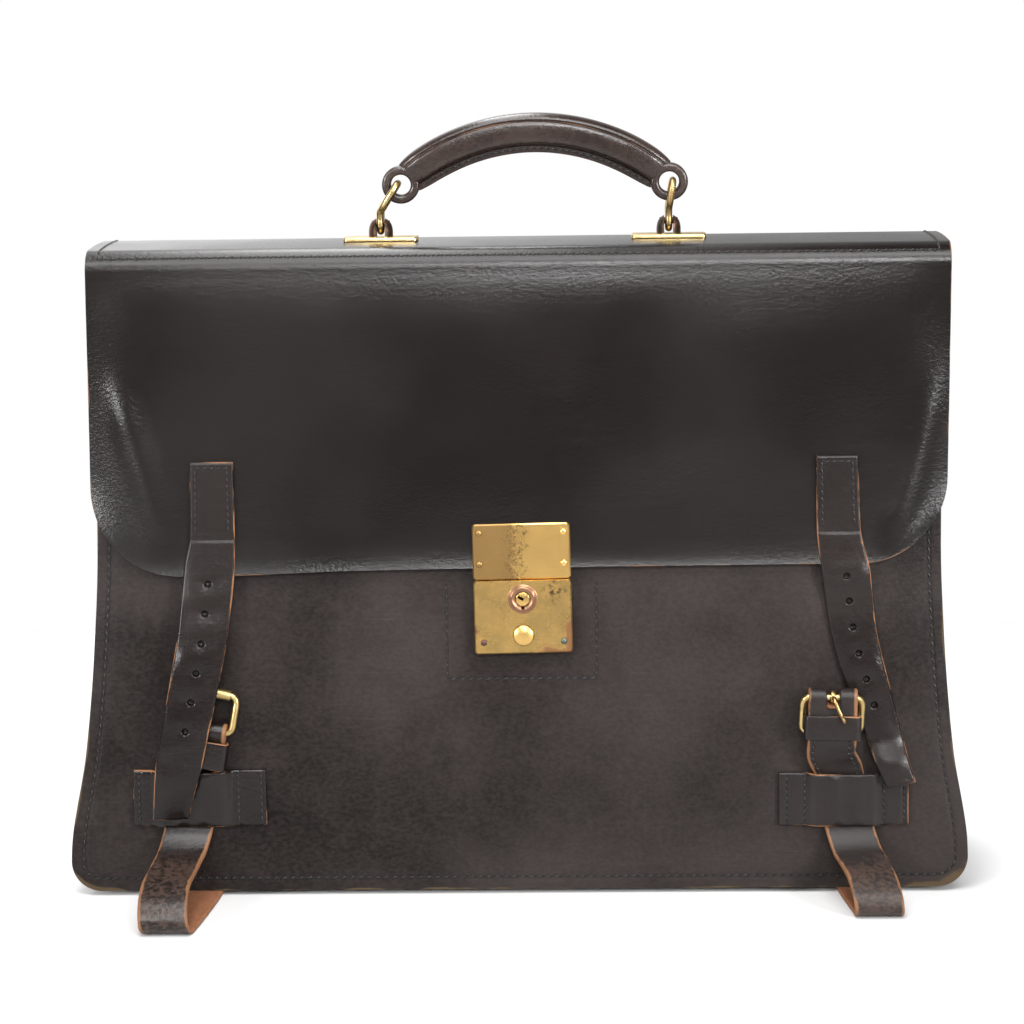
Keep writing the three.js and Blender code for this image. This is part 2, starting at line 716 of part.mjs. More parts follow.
// A buckle strap: its folded tail, round the heel bar, down through the keeper, out in a slack loop, back
// under the case along the floor and up the back.
function buckleStrap(buckle, { run, keeper, slack, footX, backX }) {
  const { matrix } = buckleGroup(buckle);
  const lean = THREE.MathUtils.degToRad(buckle.lean);
  const inFold = (along, out) => ({
    point: new THREE.Vector3(0, -out, along).applyMatrix4(matrix),
    lean,
  });
  const foldR = BAR_R + FOLD_GAP + STRAP_T / 2;
  const fold = steps(FOLD_STEPS, -FOLD_WRAP, Math.PI + FOLD_WRAP).map((turn) =>
    inFold(foldR * Math.sin(turn), buckle.barOut - foldR * Math.cos(turn)),
  );
  const meet = fold[0].point.z - buckle.barZ - FOLD_MEET;
  const floorZ = STRAP_T / 2;
  const backOut = GAP + STRAP_T / 2;
  const flat = (x, y, z) => ({ point: new THREE.Vector3(x, y, z), lean: 0 });
  const cornerTurns = steps(ROLL_STEPS, 0, Math.PI / 2);
  const anchors = [
    inFold(buckle.tailEnd, buckle.tailOut),
    inFold(meet, buckle.tailOut),
    ...fold,
    inFold(meet, buckle.frontOut),
    ...run.map(({ along, out }) => inFold(along, out)),
    ...keeper.map(({ x, z, out }) => ({ point: onFront(x, z, out), lean: lean / 2 })),
    ...slack.map(({ x, reach, z }) => flat(x, FRONT_Y - reach, z)),
    flat(footX, FRONT_Y, floorZ),
    flat((footX + backX) / 2, (FRONT_Y + BACK_Y) / 2, floorZ),
    ...cornerTurns.map((turn) =>
      flat(backX, BACK_Y + backOut * Math.sin(turn), BOTTOM_Z - backOut * Math.cos(turn)),
    ),
    flat(backX, backY(STRAP_BACK_TOP_Z / 2) + backOut, STRAP_BACK_TOP_Z / 2),
    flat(backX, backY(STRAP_BACK_TOP_Z) + backOut, STRAP_BACK_TOP_Z),
  ];
  const curve = new THREE.CatmullRomCurve3(anchors.map(({ point }) => point));
  const spans = anchors.length - 1;
  const path = steps(spans * 2, 0, spans).map((at) => {
    const i = Math.min(Math.floor(at), spans - 1);
    const point = curve.getPoint(at / spans);
    point.z = Math.max(point.z, floorZ);
    return { point, lean: THREE.MathUtils.lerp(anchors[i].lean, anchors[i + 1].lean, at - i) };
  });
  const slotHigh = foldR + STRAP_T;
  const slot = new THREE.BoxGeometry(SLOT_WIDTH, foldR * 4, slotHigh - SLOT_LOW);
  slot.translate(0, -buckle.barOut, (slotHigh + SLOT_LOW) / 2).applyMatrix4(matrix);
  return cut(ribbon(path, BUCKLE_STRAP_WIDTH, STRAP_T), slot);
}

function roundedRectangle(halfWidth, low, high, radius) {
  const shape = new THREE.Shape();
  shape.absarc(halfWidth - radius, high - radius, radius, 0, Math.PI / 2);
  shape.absarc(radius - halfWidth, high - radius, radius, Math.PI / 2, Math.PI);
  shape.absarc(radius - halfWidth, low + radius, radius, Math.PI, Math.PI * 1.5);
  shape.absarc(halfWidth - radius, low + radius, radius, Math.PI * 1.5, Math.PI * 2);
  return shape;
}

function keeperLoop({ loopLow, loopHigh, loopBack, loopFront }) {
  const band = roundedRectangle(LOOP_HALF + LOOP_T, -loopFront, -loopBack, LOOP_CORNER_R);
  band.holes.push(roundedRectangle(LOOP_HALF, -loopFront + LOOP_T, -loopBack - LOOP_T, LOOP_INNER_R));
  const options = { depth: loopHigh - loopLow, bevelEnabled: false, curveSegments: CORNER_FACETS };
  return new THREE.ExtrudeGeometry(band, options).translate(0, 0, loopLow);
}

// A buckle's wire frame: a rounded loop from the heel bar to the bar that carries the roller.
function buckleFrame({ barOut, rollerAlong }) {
  const low = Math.min(0, rollerAlong);
  const high = Math.max(0, rollerAlong);
  const outline = roundedRectangle(FRAME_HALF, low, high, FRAME_CORNER_R);
  const flat = new THREE.CurvePath();
  const outs = (along) => THREE.MathUtils.mapLinear(along, 0, rollerAlong, barOut, ROLLER_OUT);
  const corners = outline.getPoints(WIRE_FACETS);
  const points = corners.map((p) => new THREE.Vector3(p.x, -outs(p.y), p.y));
  points.forEach((p, i) => flat.add(new THREE.LineCurve3(p, points[(i + 1) % points.length])));
  return wireLoop(flat, FRAME_STEPS, BAR_R, WIRE_FACETS);
}

function buckleRoller({ rollerAlong }) {
  const profile = [
    [ROLLER_BORE_R, -ROLLER_HALF],
    [ROLLER_R, -ROLLER_HALF],
    [ROLLER_R, ROLLER_HALF],
    [ROLLER_BORE_R, ROLLER_HALF],
    [ROLLER_BORE_R, -ROLLER_HALF],
  ];
  return turned(profile).rotateY(Math.PI / 2).translate(0, -ROLLER_OUT, rollerAlong);
}

function prongRing(barOut) {
  const half = PRONG_WIDTH / 2;
  const profile = [
    [PRONG_BORE_R, -half],
    [PRONG_RING_R, -half],
    [PRONG_RING_R, half],
    [PRONG_BORE_R, half],
    [PRONG_BORE_R, -half],
  ];
  return turned(profile).rotateY(Math.PI / 2).translate(0, -barOut, 0);
}

// Prong paths from the ring on the heel bar to the tip: across, along and out of the panel.
const PRONG_PATHS = {
  left: [
    { across: 0, along: 1, out: 7.2 },
    { across: 0, along: 8, out: 7.2 },
    { across: 0, along: 19.5, out: 6.9 },
  ],
  right: [
    { across: 0, along: 0.4, out: 11.3 },
    { across: 0.4, along: -0.4, out: 14.2 },
    { across: 2.4, along: -5, out: 15.6 },
    { across: 5.4, along: -11, out: 15.9 },
  ],
};

function prong({ barOut }, path) {
  const points = path.map(({ across, along, out }) => new THREE.Vector3(across, -out, along));
  const bore = new THREE.CylinderGeometry(PRONG_BORE_R, PRONG_BORE_R, PRONG_WIDTH * 2, FACETS);
  bore.rotateZ(Math.PI / 2).translate(0, -barOut, 0);
  return cut(join(prongRing(barOut), rod(points, PRONG_R)), bore);
}

// Handle
const TOP_MID_Y = (frontY(0, CREST_Z) + backY(CREST_Z)) / 2;
const PLATE_TOP_Z = CREST_Z + GAP + PLATE_T;
const SWING_Z = PLATE_TOP_Z + KNOB_BAR_RISE;

function handleGrip() {
  const radius = (GRIP_HALF_SPAN ** 2 + GRIP_RISE ** 2) / (2 * GRIP_RISE);
  const halfTurn = Math.asin(GRIP_HALF_SPAN / radius);
  const centreZ = EYE_Z + GRIP_RISE - radius;
  const outline = [
    ...GRIP_SECTION,
    ...[...GRIP_SECTION].reverse().map(({ height, half }) => ({ height, half: -half })),
  ];
  const rings = steps(GRIP_STEPS, -GRIP_END, GRIP_END).map((place) => {
    const wide = tableAt(GRIP_TAPER, "at", "wide", Math.abs(place));
    const tall = tableAt(GRIP_TAPER, "at", "tall", Math.abs(place));
    const turn = place * halfTurn;
    return outline.map(({ height, half }) => {
      const reach = radius + height * tall;
      return new THREE.Vector3(
        GRIP_X + reach * Math.sin(turn),
        TOP_MID_Y + half * wide,
        centreZ + reach * Math.cos(turn),
      );
    });
  });
  const sides = outline.length;
  const triangles = [];
  for (let i = 0; i < rings.length - 1; i += 1) {
    for (let k = 0; k < sides; k += 1) {
      const side = (k + 1) % sides;
      triangles.push([i * sides + k, (i + 1) * sides + k, (i + 1) * sides + side]);
      triangles.push([i * sides + k, (i + 1) * sides + side, i * sides + side]);
    }
  }
  const lastRing = (rings.length - 1) * sides;
  for (let k = 0; k < sides / 2 - 1; k += 1) {
    const far = sides - 1 - k;
    triangles.push([k, k + 1, far - 1], [k, far - 1, far]);
    triangles.push([lastRing + k, lastRing + far - 1, lastRing + k + 1]);
    triangles.push([lastRing + k, lastRing + far, lastRing + far - 1]);
  }
  const body = closedGeometry(rings.flat(), triangles);
  const eyes = [-1, 1].map((side) => GRIP_X + side * GRIP_HALF_SPAN);
  const disc = (x, r, depth) =>
    new THREE.CylinderGeometry(r, r, depth, BARREL_FACETS).translate(x, TOP_MID_Y, EYE_Z);
  const joined = join(body, ...eyes.map((x) => disc(x, EYE_R, EYE_T)));
  return cut(joined, ...eyes.map((x) => disc(x, EYE_HOLE_R, EYE_T * 3)));
}

// A bail: a loop that hangs round the knob's bar and through the handle's eye, leaning to it above the knob.
function bail(side) {
  const barHalf = KNOB_BAR_R + GAP + BAIL_R;
  const rise = EYE_Z - SWING_Z + BAIL_TOP_RISE;
  const leanX = (BAIL_TOP_X[side] - PLATE_XS[side]) / (rise - BAIL_LEAN_FROM);
  const arm = [
    ...BAIL_ARM.map((row) => [barHalf + row.spread, row.rise]),
    ...BAIL_SHOULDER.map(({ inset, drop }) => [BAIL_TOP_HALF - inset, rise - drop]),
  ];
  const outline = [
    ...steps(FOLD_STEPS, -Math.PI, 0).map((turn) => [barHalf * Math.cos(turn), barHalf * Math.sin(turn)]),
    ...arm,
    ...[...arm].reverse().map(([y, z]) => [-y, z]),
  ];
  const points = outline.map(
    ([y, z]) =>
      new THREE.Vector3(PLATE_XS[side] + leanX * Math.max(0, z - BAIL_LEAN_FROM), TOP_MID_Y + y, SWING_Z + z),
  );
  return wireLoop(new THREE.CatmullRomCurve3(points, true), BAIL_STEPS, BAIL_R, WIRE_FACETS);
}

// A brass plate on the crest with a slotted knob, whose cross bar carries the bail.
function handlePlate(side) {
  const outline = roundedRectangle(PLATE_LENGTH / 2, -PLATE_WIDTH / 2, PLATE_WIDTH / 2, PLATE_CORNER_R);
  const options = { depth: PLATE_T, bevelEnabled: false, curveSegments: CORNER_FACETS };
  const plate = new THREE.ExtrudeGeometry(outline, options);
  const profile = [
    [0, PLATE_T / 2],
    [KNOB_R, PLATE_T / 2],
    ...KNOB_PROFILE.map(({ radius, rise }) => [KNOB_R * radius, PLATE_T + rise]),
  ];
  const slotHeight = KNOB_BAR_RISE * 2;
  const slot = new THREE.BoxGeometry(KNOB_SLOT, KNOB_R * 4, slotHeight);
  slot.translate(0, 0, PLATE_T + GAP + slotHeight / 2);
  const bar = new THREE.CylinderGeometry(KNOB_BAR_R, KNOB_BAR_R, KNOB_R * 1.5, FACETS);
  bar.rotateZ(Math.PI / 2).translate(0, 0, PLATE_T + KNOB_BAR_RISE);
  const knob = join(cut(turned(profile), slot), bar);
  return join(plate, knob).translate(PLATE_XS[side], TOP_MID_Y, CREST_Z + GAP);
}

// Lock: X across, -Y out of the panel and Z up the panel, from the meeting of the two plates.
function bevelledPlate({ width, low, high, back, front }) {
  const half = width / 2 - PLATE_BEVEL;
  const outline = roundedRectangle(half, low + PLATE_BEVEL, high - PLATE_BEVEL, LOCK_CORNER_R);
  const options = {
    depth: front - back - PLATE_BEVEL * 2,
    bevelSize: PLATE_BEVEL,
    bevelThickness: PLATE_BEVEL,
    bevelSegments: 1,
    curveSegments: CORNER_FACETS,
  };
  const plate = new THREE.ExtrudeGeometry(outline, options);
  return plate.rotateX(Math.PI / 2).translate(0, -back - PLATE_BEVEL, 0);
}

function barrel(r, back, front, along) {
  const round = new THREE.CylinderGeometry(r, r, front - back, BARREL_FACETS);
  return round.translate(0, -(front + back) / 2, along);
}

function lockPlate() {
  const low = LOCK_PLATE.back - CUT_PAST;
  const high = LOCK_PLATE.front + CUT_PAST;
  const seats = [
    barrel(CYLINDER.r + GAP, low, high, CYLINDER.along),
    barrel(BUTTON.r + BUTTON.clearance, low, high, BUTTON.along),
  ];
  return cut(bevelledPlate(LOCK_PLATE), ...seats);
}

function lockCylinder() {
  const { along, r, bore, back, front } = CYLINDER;
  return cut(barrel(r, back, front, along), barrel(bore, back - CUT_PAST, front + CUT_PAST, along));
}

function keyPlug() {
  const slot = new THREE.BoxGeometry(PLUG.slotWidth, PLUG.slotDepth * 2, PLUG.r * 1.5);
  slot.rotateY(-Math.PI / 2 + KEY_SLOT_TURN).translate(0, -PLUG.front, CYLINDER.along);
  return cut(barrel(PLUG.r, PLUG.back, PLUG.front, CYLINDER.along), slot);
}

function lockButton() {
  const profile = [
    [0, BUTTON.back],
    [BUTTON.r, BUTTON.back],
    [BUTTON.r, BUTTON.front - BUTTON.bevel],
    [BUTTON.r * BUTTON.crown, BUTTON.front],
    [0, BUTTON.front],
  ];
  return turned(profile, BARREL_FACETS).rotateX(Math.PI / 2).translate(0, 0, BUTTON.along);
}

function rivet(across, along, seat) {
  const profile = [
    [0, 0],
    [RIVET_R, 0],
    [RIVET_R * RIVET_SHOULDER, RIVET_RISE * RIVET_SHOULDER],
    [0, RIVET_RISE],
  ];
  return turned(profile, RIVET_FACETS).rotateX(Math.PI / 2).translate(across, -seat - RIVET_SEAT, along);
}

const briefcase = new THREE.Group();

briefcase.add(
  named("front_panel", frontPanel(), "body"),
  named("gusset", gusset(), "body"),
  named("back_and_flap", backAndFlap(), "body"),
  named("handle_grip", handleGrip(), "handle"),
);

for (const side of ["left", "right"]) {
  const buckle = BUCKLES[side];
  briefcase.add(
    named(`${side}_flap_strap`, flapStrap(FLAP_STRAPS[side]), "strap"),
    named(`${side}_keeper_patch`, keeperPatch(KEEPERS[side]), "body"),
    named(`${side}_buckle_strap`, buckleStrap(buckle, BUCKLE_STRAPS[side]), "strap"),
    named(`${side}_handle_plate`, handlePlate(side), "brass"),
    named(`${side}_bail`, bail(side), "brass"),
  );
  const group = buckleGroup(buckle);
  group.add(
    named(`${side}_keeper_loop`, keeperLoop(buckle), "strap"),
    named(`${side}_buckle_frame`, buckleFrame(buckle), "brass"),
    named(`${side}_buckle_roller`, buckleRoller(buckle), "brass"),
    named(`${side}_prong`, prong(buckle, PRONG_PATHS[side]), "brass"),
  );
  briefcase.add(group);
}

const lock = new THREE.Group();
lock.position.copy(onFront(LOCK_X, LOCK_MID_Z, 0));
lock.rotation.set(-FRONT_LEAN, LOCK_ROLL, 0);
lock.add(
  named("hasp_plate", bevelledPlate(HASP), "lock"),
  named("lock_plate", lockPlate(), "lock"),
  named("lock_cylinder", lockCylinder(), "lock"),
  named("key_plug", keyPlug(), "brass"),
  named("lock_button", lockButton(), "lock"),
);
HASP_RIVETS.forEach(({ across, along }, i) => {
  lock.add(named(`hasp_rivet_${i + 1}`, rivet(across, along, HASP.front), "brass"));
});
for (const side of ["left", "right"]) {
  const across = LOCK_RIVETS[side];
  lock.add(named(`lock_rivet_${side}`, rivet(across, LOCK_RIVET_ALONG, LOCK_PLATE.front), "brass"));
}
briefcase.add(lock);

export default briefcase;
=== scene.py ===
import math

import bpy
import numpy as np
from bpy.props import FloatProperty, FloatVectorProperty, PointerProperty
from mathutils import Matrix


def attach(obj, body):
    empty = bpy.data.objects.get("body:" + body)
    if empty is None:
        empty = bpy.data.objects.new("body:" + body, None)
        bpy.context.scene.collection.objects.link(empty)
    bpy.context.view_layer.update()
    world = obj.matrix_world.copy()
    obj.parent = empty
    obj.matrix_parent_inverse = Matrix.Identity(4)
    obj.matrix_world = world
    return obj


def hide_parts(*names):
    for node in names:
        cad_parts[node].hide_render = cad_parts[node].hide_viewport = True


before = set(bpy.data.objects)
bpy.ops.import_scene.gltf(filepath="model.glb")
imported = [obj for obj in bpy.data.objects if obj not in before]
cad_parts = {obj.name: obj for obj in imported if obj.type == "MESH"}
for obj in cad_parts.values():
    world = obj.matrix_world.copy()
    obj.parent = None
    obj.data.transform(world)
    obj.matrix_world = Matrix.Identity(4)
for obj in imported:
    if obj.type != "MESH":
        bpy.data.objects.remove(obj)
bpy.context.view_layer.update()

bl_info = {
    "name": "Briefcase",
    "version": (1, 0, 0),
    "blender": (4, 5, 0),
    "location": "View3D > Sidebar > Briefcase",
    "description": "Leather, sewing and brass of a flap briefcase on its packed frame",
    "category": "Object",
}

# Sizes are in millimetres and are put into the meshes in metres.
MM = 0.001
GAP = 0.3

# Leather thicknesses
PANEL_T = 2.6
FLAP_T = 2.4
FLAP_GAP = 0.8
GUSSET_T = 2.0
STRAP_T = 2.2
KEEPER_T = 2.0
LOOP_T = 1.6

# Case
FRONT_Y = -22.75
BACK_Y = 82.25
BOTTOM_Z = 2.5
CREST_Z = 309.7
FRONT_LEAN = math.radians(4)
BACK_LEAN = math.radians(3)
SWAY = 0.01
PANEL_EDGE = [(0, 215.6), (22, 215), (70, 207.7), (118, 203.3), (168, 200.8), (305, 200)]
PANEL_CORNER_R = 15
PANEL_TOP_Z = 292
FLAP_HALF = 202.8
FLAP_BOTTOM_Z = 155
FLAP_RISE = [(-190, 0.6), (-135, 0.9), (-80, 2.6), (-30, 3.2), (60, 3.8), (150, 4.1), (190, 3.6)]
FLAP_CORNER_R = 42
FLAP_CURL = 2.2
PANEL_WAVE = 0.4
FLAP_WAVE = 0.5
PILLOW = {"rise": 1.9, "start": 11, "foot": 85, "fade": 80, "x": 15, "width": 95, "least": 0.62}
RIDGES = [((-189, 242), (-166, 172)), ((201, 246), (174, 160))]
RIDGE_RISE = 2.4
RIDGE_WIDTH = 8
TOP_ROLL_R = 9
TOP_CROWN = 0.6
SIDE_FALL = 7
FALL_X = (165, 205)
FALL_Z = (30, 300)
SEAM_INSET = 6
SEAM_GROOVE = 0.28
SEAM_TURN = math.radians(41)
# Rubbed lower corners of the front panel: side, start and length across, start and length down, share.
RUBBED_CORNERS = [(1, 150, 55, 70, 60, 0.75), (-1, 165, 45, 40, 36, 0.525)]
# Points in the grids of the large sheets, and their distances in from an edge.
CORNER_STEPS = 16
PANEL_ROWS = 96
BACK_ROWS = 60
SHEET_COLUMNS = 120
NEAR_EDGE = np.concatenate([np.arange(0, 4, 0.8), np.arange(4, 8.1, 0.5), np.arange(9, 14, 1.6)])
# Waves of the hide: radians a millimetre in x and z, start and size.
WAVES = [
    (0.021, 0.034, 0.4, 0.5), (-0.037, 0.022, 2.1, 0.36), (0.052, -0.041, 4.0, 0.22),
    (0.015, 0.083, 1.3, 0.2), (0.094, 0.027, 5.2, 0.12), (-0.071, 0.098, 3.3, 0.1),
]

# Gusset
FLANGE_GAP = 0.8
FLANGE_INSET = 0.6
FLANGE_WIDTH = 7
GUSSET_BEND_R = 2.4
GUSSET_TOP_Z = 286
PLEAT_DEPTH = 15
PLEAT_SHARPNESS = 1.5

# Flap straps: z, left, right, out and tilt of each section.
TAB_OUT = FLAP_GAP + FLAP_T + GAP
FLAP_STRAPS = {
    "left": {
        "first_hole": 152.7,
        "pitch": 13.94,
        "tab_foot": 175.5,
        "sections": [
            (210, -152.4, -132, TAB_OUT, 0),
            (175.5, -153.2, -131.9, TAB_OUT, 0),
            (162, -155.9, -132.2, 4, 0),
            (129.5, -159.6, -135.8, 7.6, 0),
            (103, -164.4, -140.9, 9.4, 0),
            (81, -168.6, -146, 9.5, 0),
            (64, -171.8, -149.9, 9.4, 0),
            (52, -173, -153.6, 7.8, 0),
            (39.5, -173.9, -156.9, 5.6, 0.4),
        ],
    },
    "right": {
        "first_hole": 153.7,
        "pitch": 12.52,
        "tab_foot": 177,
        "sections": [
            (210.5, 142.6, 162.3, TAB_OUT, 0),
            (177, 143, 163.4, TAB_OUT, 0),
            (155, 145.3, 168.2, TAB_OUT, 0),
            (145, 146.7, 169.2, 1.4, 0),
            (128, 149.4, 171.2, GAP, 0),
            (103, 156.4, 177, GAP, 0),
            (76, 166.6, 183.8, GAP, 0.6),
            (63, 171.6, 187, 4, 1.6),
            (53.5, 176.3, 189.8, 4.6, 2.8),
        ],
    },
}
HOLE_COUNT = 6
HOLE_R = 1.4
HOLE_DEPTH = 1.9
HOLE_DISH = 0.3
STRAP_CROWN = 0.6
TAB_CREASE = 0.45
# How far the cut edges of straps and patches are eased.
EDGE_EASE = 0.55

# Keeper patches
KEEPERS = {
    "left": {
        "x": (-184, -120), "z": (35, 61.8), "tunnel": (-171, -139.5), "rows": (-180.9, -133.1, -122),
    },
    "right": {
        "x": (125.1, 186.8), "z": (33.3, 58.7), "tunnel": (141, 171.5), "rows": (128.9, 137.5, 175, 184.6),
    },
}
TUNNEL_RAMP = 4.5
TUNNEL_SLACK = 0.6
TUNNEL_RISE = 1.6
TUNNEL_SHOULDER = 0.72
ROW_PULL = 0.3

# Buckles, in a frame with X across the strap, -Y out of the panel and Z along the strap.
STRAP_WIDTH = 23
BAR_R = 1.7
ROLLER_R = 2.6
ROLLER_BORE_R = 2.05
ROLLER_HALF = 10.8
ROLLER_OUT = GAP + ROLLER_R
FRAME_HALF = 13.9
FRAME_CORNER_R = 3.5
LOOP_HALF = 11.9
PRONG_R = 1.0
PRONG_RING_R = 3.4
PRONG_BORE_R = 2.0
PRONG_WIDTH = 2.6
SLOT_HALF = 3.0
FOLD_GAP = 0.5
FOLD_MEET = 4
FOLD_POINTS = 8
STRAP_STEPS = 12
FOLD_WRAP = math.radians(25)
BUCKLES = {
    "left": {
        "bar": (-149.4, 82, 4.65), "lean": 9.8, "roller": 18,
        "tail_out": 3.4, "front_out": 5.9, "tail_end": -9,
        "loop": (-18.2, -4.9, GAP, 9.05),
        "prong": [(0, 1, 7.2), (0, 8, 7.2), (0, 19.5, 6.9)],
        "run": [(-9, 5.7), (-14, 4.5), (-19.5, 3.1)],
        "keeper": [(-153.4, 58, 2.2), (-155, 46, 1.7), (-157.6, 33.6, 1.7)],
        "slack": [
            (-160, 7, 24.6), (-162.3, 21, 20.2), (-163.6, 41, 17.4), (-163, 55.5, 12),
            (-162, 60.9, 6), (-161, 57.6, 1.9), (-159.6, 50, 1.1),
        ],
        "foot_x": -154, "back_x": -150,
    },
    "right": {
        "bar": (150.2, 96, 8.8), "lean": 1.5, "roller": -17.6,
        "tail_out": 8.8, "front_out": 11.3, "tail_end": -7,
        "loop": (-19.8, -8.2, 8.2, 14.4),
        "prong": [(0, 0.4, 11.3), (0.4, -0.4, 14.2), (2.4, -5, 15.6), (5.4, -11, 15.9)],
        "run": [(-12, 11.3), (-20.5, 11), (-27.5, 7.8)],
        "keeper": [(153.4, 60, 3), (155.6, 46, 1.8), (158.8, 32, 1.8)],
        "slack": [
            (161.6, 6, 23.4), (164.4, 15, 19.4), (167, 29, 15.8), (168.6, 38.6, 10),
            (169.2, 40.8, 5), (169.4, 37.6, 1.8), (169, 31, 1.1),
        ],
        "foot_x": 165, "back_x": 161,
    },
}
STRAP_BACK_TOP_Z = 72
PRONG_BODY = {"left": "case", "right": "prong"}

# Handle
GRIP_X = 11.4
GRIP_HALF_SPAN = 64.1
GRIP_RISE = 24
EYE_Z = 336.4
EYE_R = 9
EYE_HOLE_R = 4.8
EYE_T = 8
EYE_ROUND = 1.5
GRIP_END = 0.925
GRIP_TAPER = [(0, 1, 1), (0.6, 1, 1), (0.8, 0.84, 0.97), (0.89, 0.62, 0.9), (0.925, 0.48, 0.84)]
GRIP_OUTLINE = [
    (9.3, 2.4), (8.9, 4.6), (7.9, 6.1), (6.5, 6.85), (5.7, 6.35), (5.0, 7.1), (2.6, 7.5), (0, 7.5),
    (-3.2, 7.1), (-4.8, 6.2), (-5.6, 4.4), (-6.1, 2.9), (-7.4, 2.55), (-8.8, 2.4), (-9.3, 1.7),
]
# An edge mark far enough in to show no rubbing.
UNRUBBED = 4.0
PLATE_XS = {"left": -62.8, "right": 75.2}
PLATE_HALF = (17.8, 6.5)
PLATE_T = 1.6
KNOB_R = 5.8
KNOB_SLOT = 4.4
KNOB_BAR_R = 1.6
KNOB_BAR_RISE = 6.2
KNOB_PROFILE = [(0, 1), (2.4, 1), (4.4, 0.96), (6.2, 0.86), (7.6, 0.68), (8.4, 0.5), (8.75, 0.4)]
BAIL_R = 1.7
BAIL_TOP_HALF = 6.6
BAIL_TOP_RISE = 0.4
BAIL_SHOULDER = [(0, 7), (0, 2.6), (1.6, 0.4), (4, 0)]
BAIL_TOP_X = {"left": -54.4, "right": 77.2}
BAIL_LEAN_FROM = 5.8
BAIL_ARM = [(0, 3), (0.9, 6.4), (2.4, 9)]

# Lock, in a frame with X across, -Y out of the panel and Z up the panel.
LOCK_X = 4
LOCK_ROLL = math.radians(-0.9)
LOCK_MID_Z = 148.5
HASP_FRONT = 5.8
LOCK_FRONT = 5.4
PLUG = {"r": 3.4, "back": 1.6, "front": 6.3}
KEYWAY = {"turn": math.radians(150), "reach": (-0.5, 2.5), "half": 0.62, "depth": 1.6}
CYLINDER = {"along": -5, "r": 6.1, "bore": 3.7, "back": 1.4, "front": 6.6}
BUTTON = {"along": -22.3, "r": 4.8, "back": 3.2, "front": 7.4}
HASP_RIVETS = [(-20, 26.8), (20, 26.8), (-20, 12), (20, 12)]
LOCK_SCREWS = {"left": (-19, -25.5, "copper_screw"), "right": (19, -25.5, "green_screw")}
RIVET_R = 1.5
RIVET_RISE = 0.8
RIVET_SEAT = 0.15

# Sewing: places of the seams, insets from edges, and heights over the leather.
LOCK_SEAM = {"x": (-32.2, 39), "low": 104.6, "high": 150}
FRONT_SEAM_TOP = 178
BACK_SEAM_TOP = 288
FLAP_SEAM_HALF = 195
SIDE_SEAM_X = 197
TAB_SEAM = {"side": 2.7, "foot": 1.5, "top": 2.6, "rise": 0.1}
KEEPER_SEAM_INSET = 1.6
KEEPER_SEAM_SINK = 0.22
STRAP_SEAM_INSET = 3
STRAP_SEAM_RISE = 0.08
FIN_SEAM = {"end": 0.84, "height": -7.3, "half": 2.56}
FINE_PITCH = 0.82
# A stitch: its share of the pitch, its slant, the awl's further turn, and rings as (along, size, height).
STITCH_SHARE = 0.74
SLANT = 0.28
AWL_TURN = 0.5
STITCH_RINGS = [
    (-1, 0.35, -1.1), (-0.8, 0.85, -0.25), (-0.4, 1, 0.35), (0, 1, 0.5),
    (0.4, 1, 0.35), (0.8, 0.85, -0.25), (1, 0.35, -1.1),
]

# Camera, in millimetres, radians and pixels of a 1024 pixel frame.
CAMERA = {
    "at": (35.93, -1322.75, 428.0), "focal": 2821.97,
    "turn": 0.0278114, "pitch": 0.1834432, "roll": -0.014356,
}
FRAME_PX = 1024
SENSOR_MM = 36
# Floor: half its width, its near edge and its far edge, in metres.
FLOOR = (1.2, -1.25, 0.55)
FLOOR_COLOUR = (0.64, 0.64, 0.64, 1)
# The right side's light is the stronger one.
RIGHT_SHARE = 1.35

# Finishes: sizes of the hide's pattern, in repeats a metre, and dark or pale spots: the panel's bare edges, a
# painted sheen on the slack loops, and painted shade in punched holes, awl holes and the keyway.
PORE_SCALE = 520
MOTTLE_SCALE = 34
PANEL_BARE = (0.06, 0.041, 0.023)
SLACK_SHEEN = (0.046, 0.029, 0.0225)
PUNCHED_SHADE = (0.004, 0.003, 0.002)
AWL_SHADE = (0.003, 0.002, 0.002)
KEYWAY_SHADE = (0.006, 0.004, 0.003)

# Angles over which an edge is shaded sharp, and over which it is rounded.
SHARP_ANGLE = math.radians(50)
EASED_ANGLE = math.radians(55)


# Small sums

def smooth(part):
    """Eased step: 3t^2 - 2t^3 for t kept between 0 and 1."""
    part = np.clip(part, 0, 1)
    return part * part * (3 - 2 * part)


def bell(off, width):
    """Bell curve: 1 in the middle, falling as e to the minus square of off over width."""
    return np.exp(-((off / width) ** 2))


def points(*axes):
    """Points from their coordinates, each an array or a number."""
    return np.stack(np.broadcast_arrays(*axes), -1).astype(float)


def cubic(start, end, rise, fall, t):
    """Cubic from start to end at t from 0 to 1, with the given slopes at its ends."""
    low = start * (2 * t**3 - 3 * t**2 + 1) + rise * (t**3 - 2 * t**2 + t)
    return low + end * (3 * t**2 - 2 * t**3) + fall * (t**3 - t**2)


def table_at(rows, place):
    """Cubic through rows of (place, value), each slope the harmonic mean of its neighbours."""
    places, values = np.array(sorted(rows), float).T
    span = np.diff(places)
    slope = np.diff(values) / span
    before, after = slope[:-1], slope[1:]
    total = np.where(before * after > 0, before + after, 1)
    inner = np.where(before * after > 0, 2 * before * after / total, 0)
    tangent = np.concatenate([slope[:1], inner, slope[-1:]])
    spot = np.clip(place, places[0], places[-1])
    i = np.clip(np.searchsorted(places, spot, side="right") - 1, 0, len(span) - 1)
    t = (spot - places[i]) / span[i]
    return cubic(values[i], values[i + 1], tangent[i] * span[i], tangent[i + 1] * span[i], t)


def column(rows, index, place):
    return table_at([(row[0], row[index]) for row in rows], place)


def unit(vectors):
    return vectors / np.linalg.norm(vectors, axis=-1, keepdims=True)


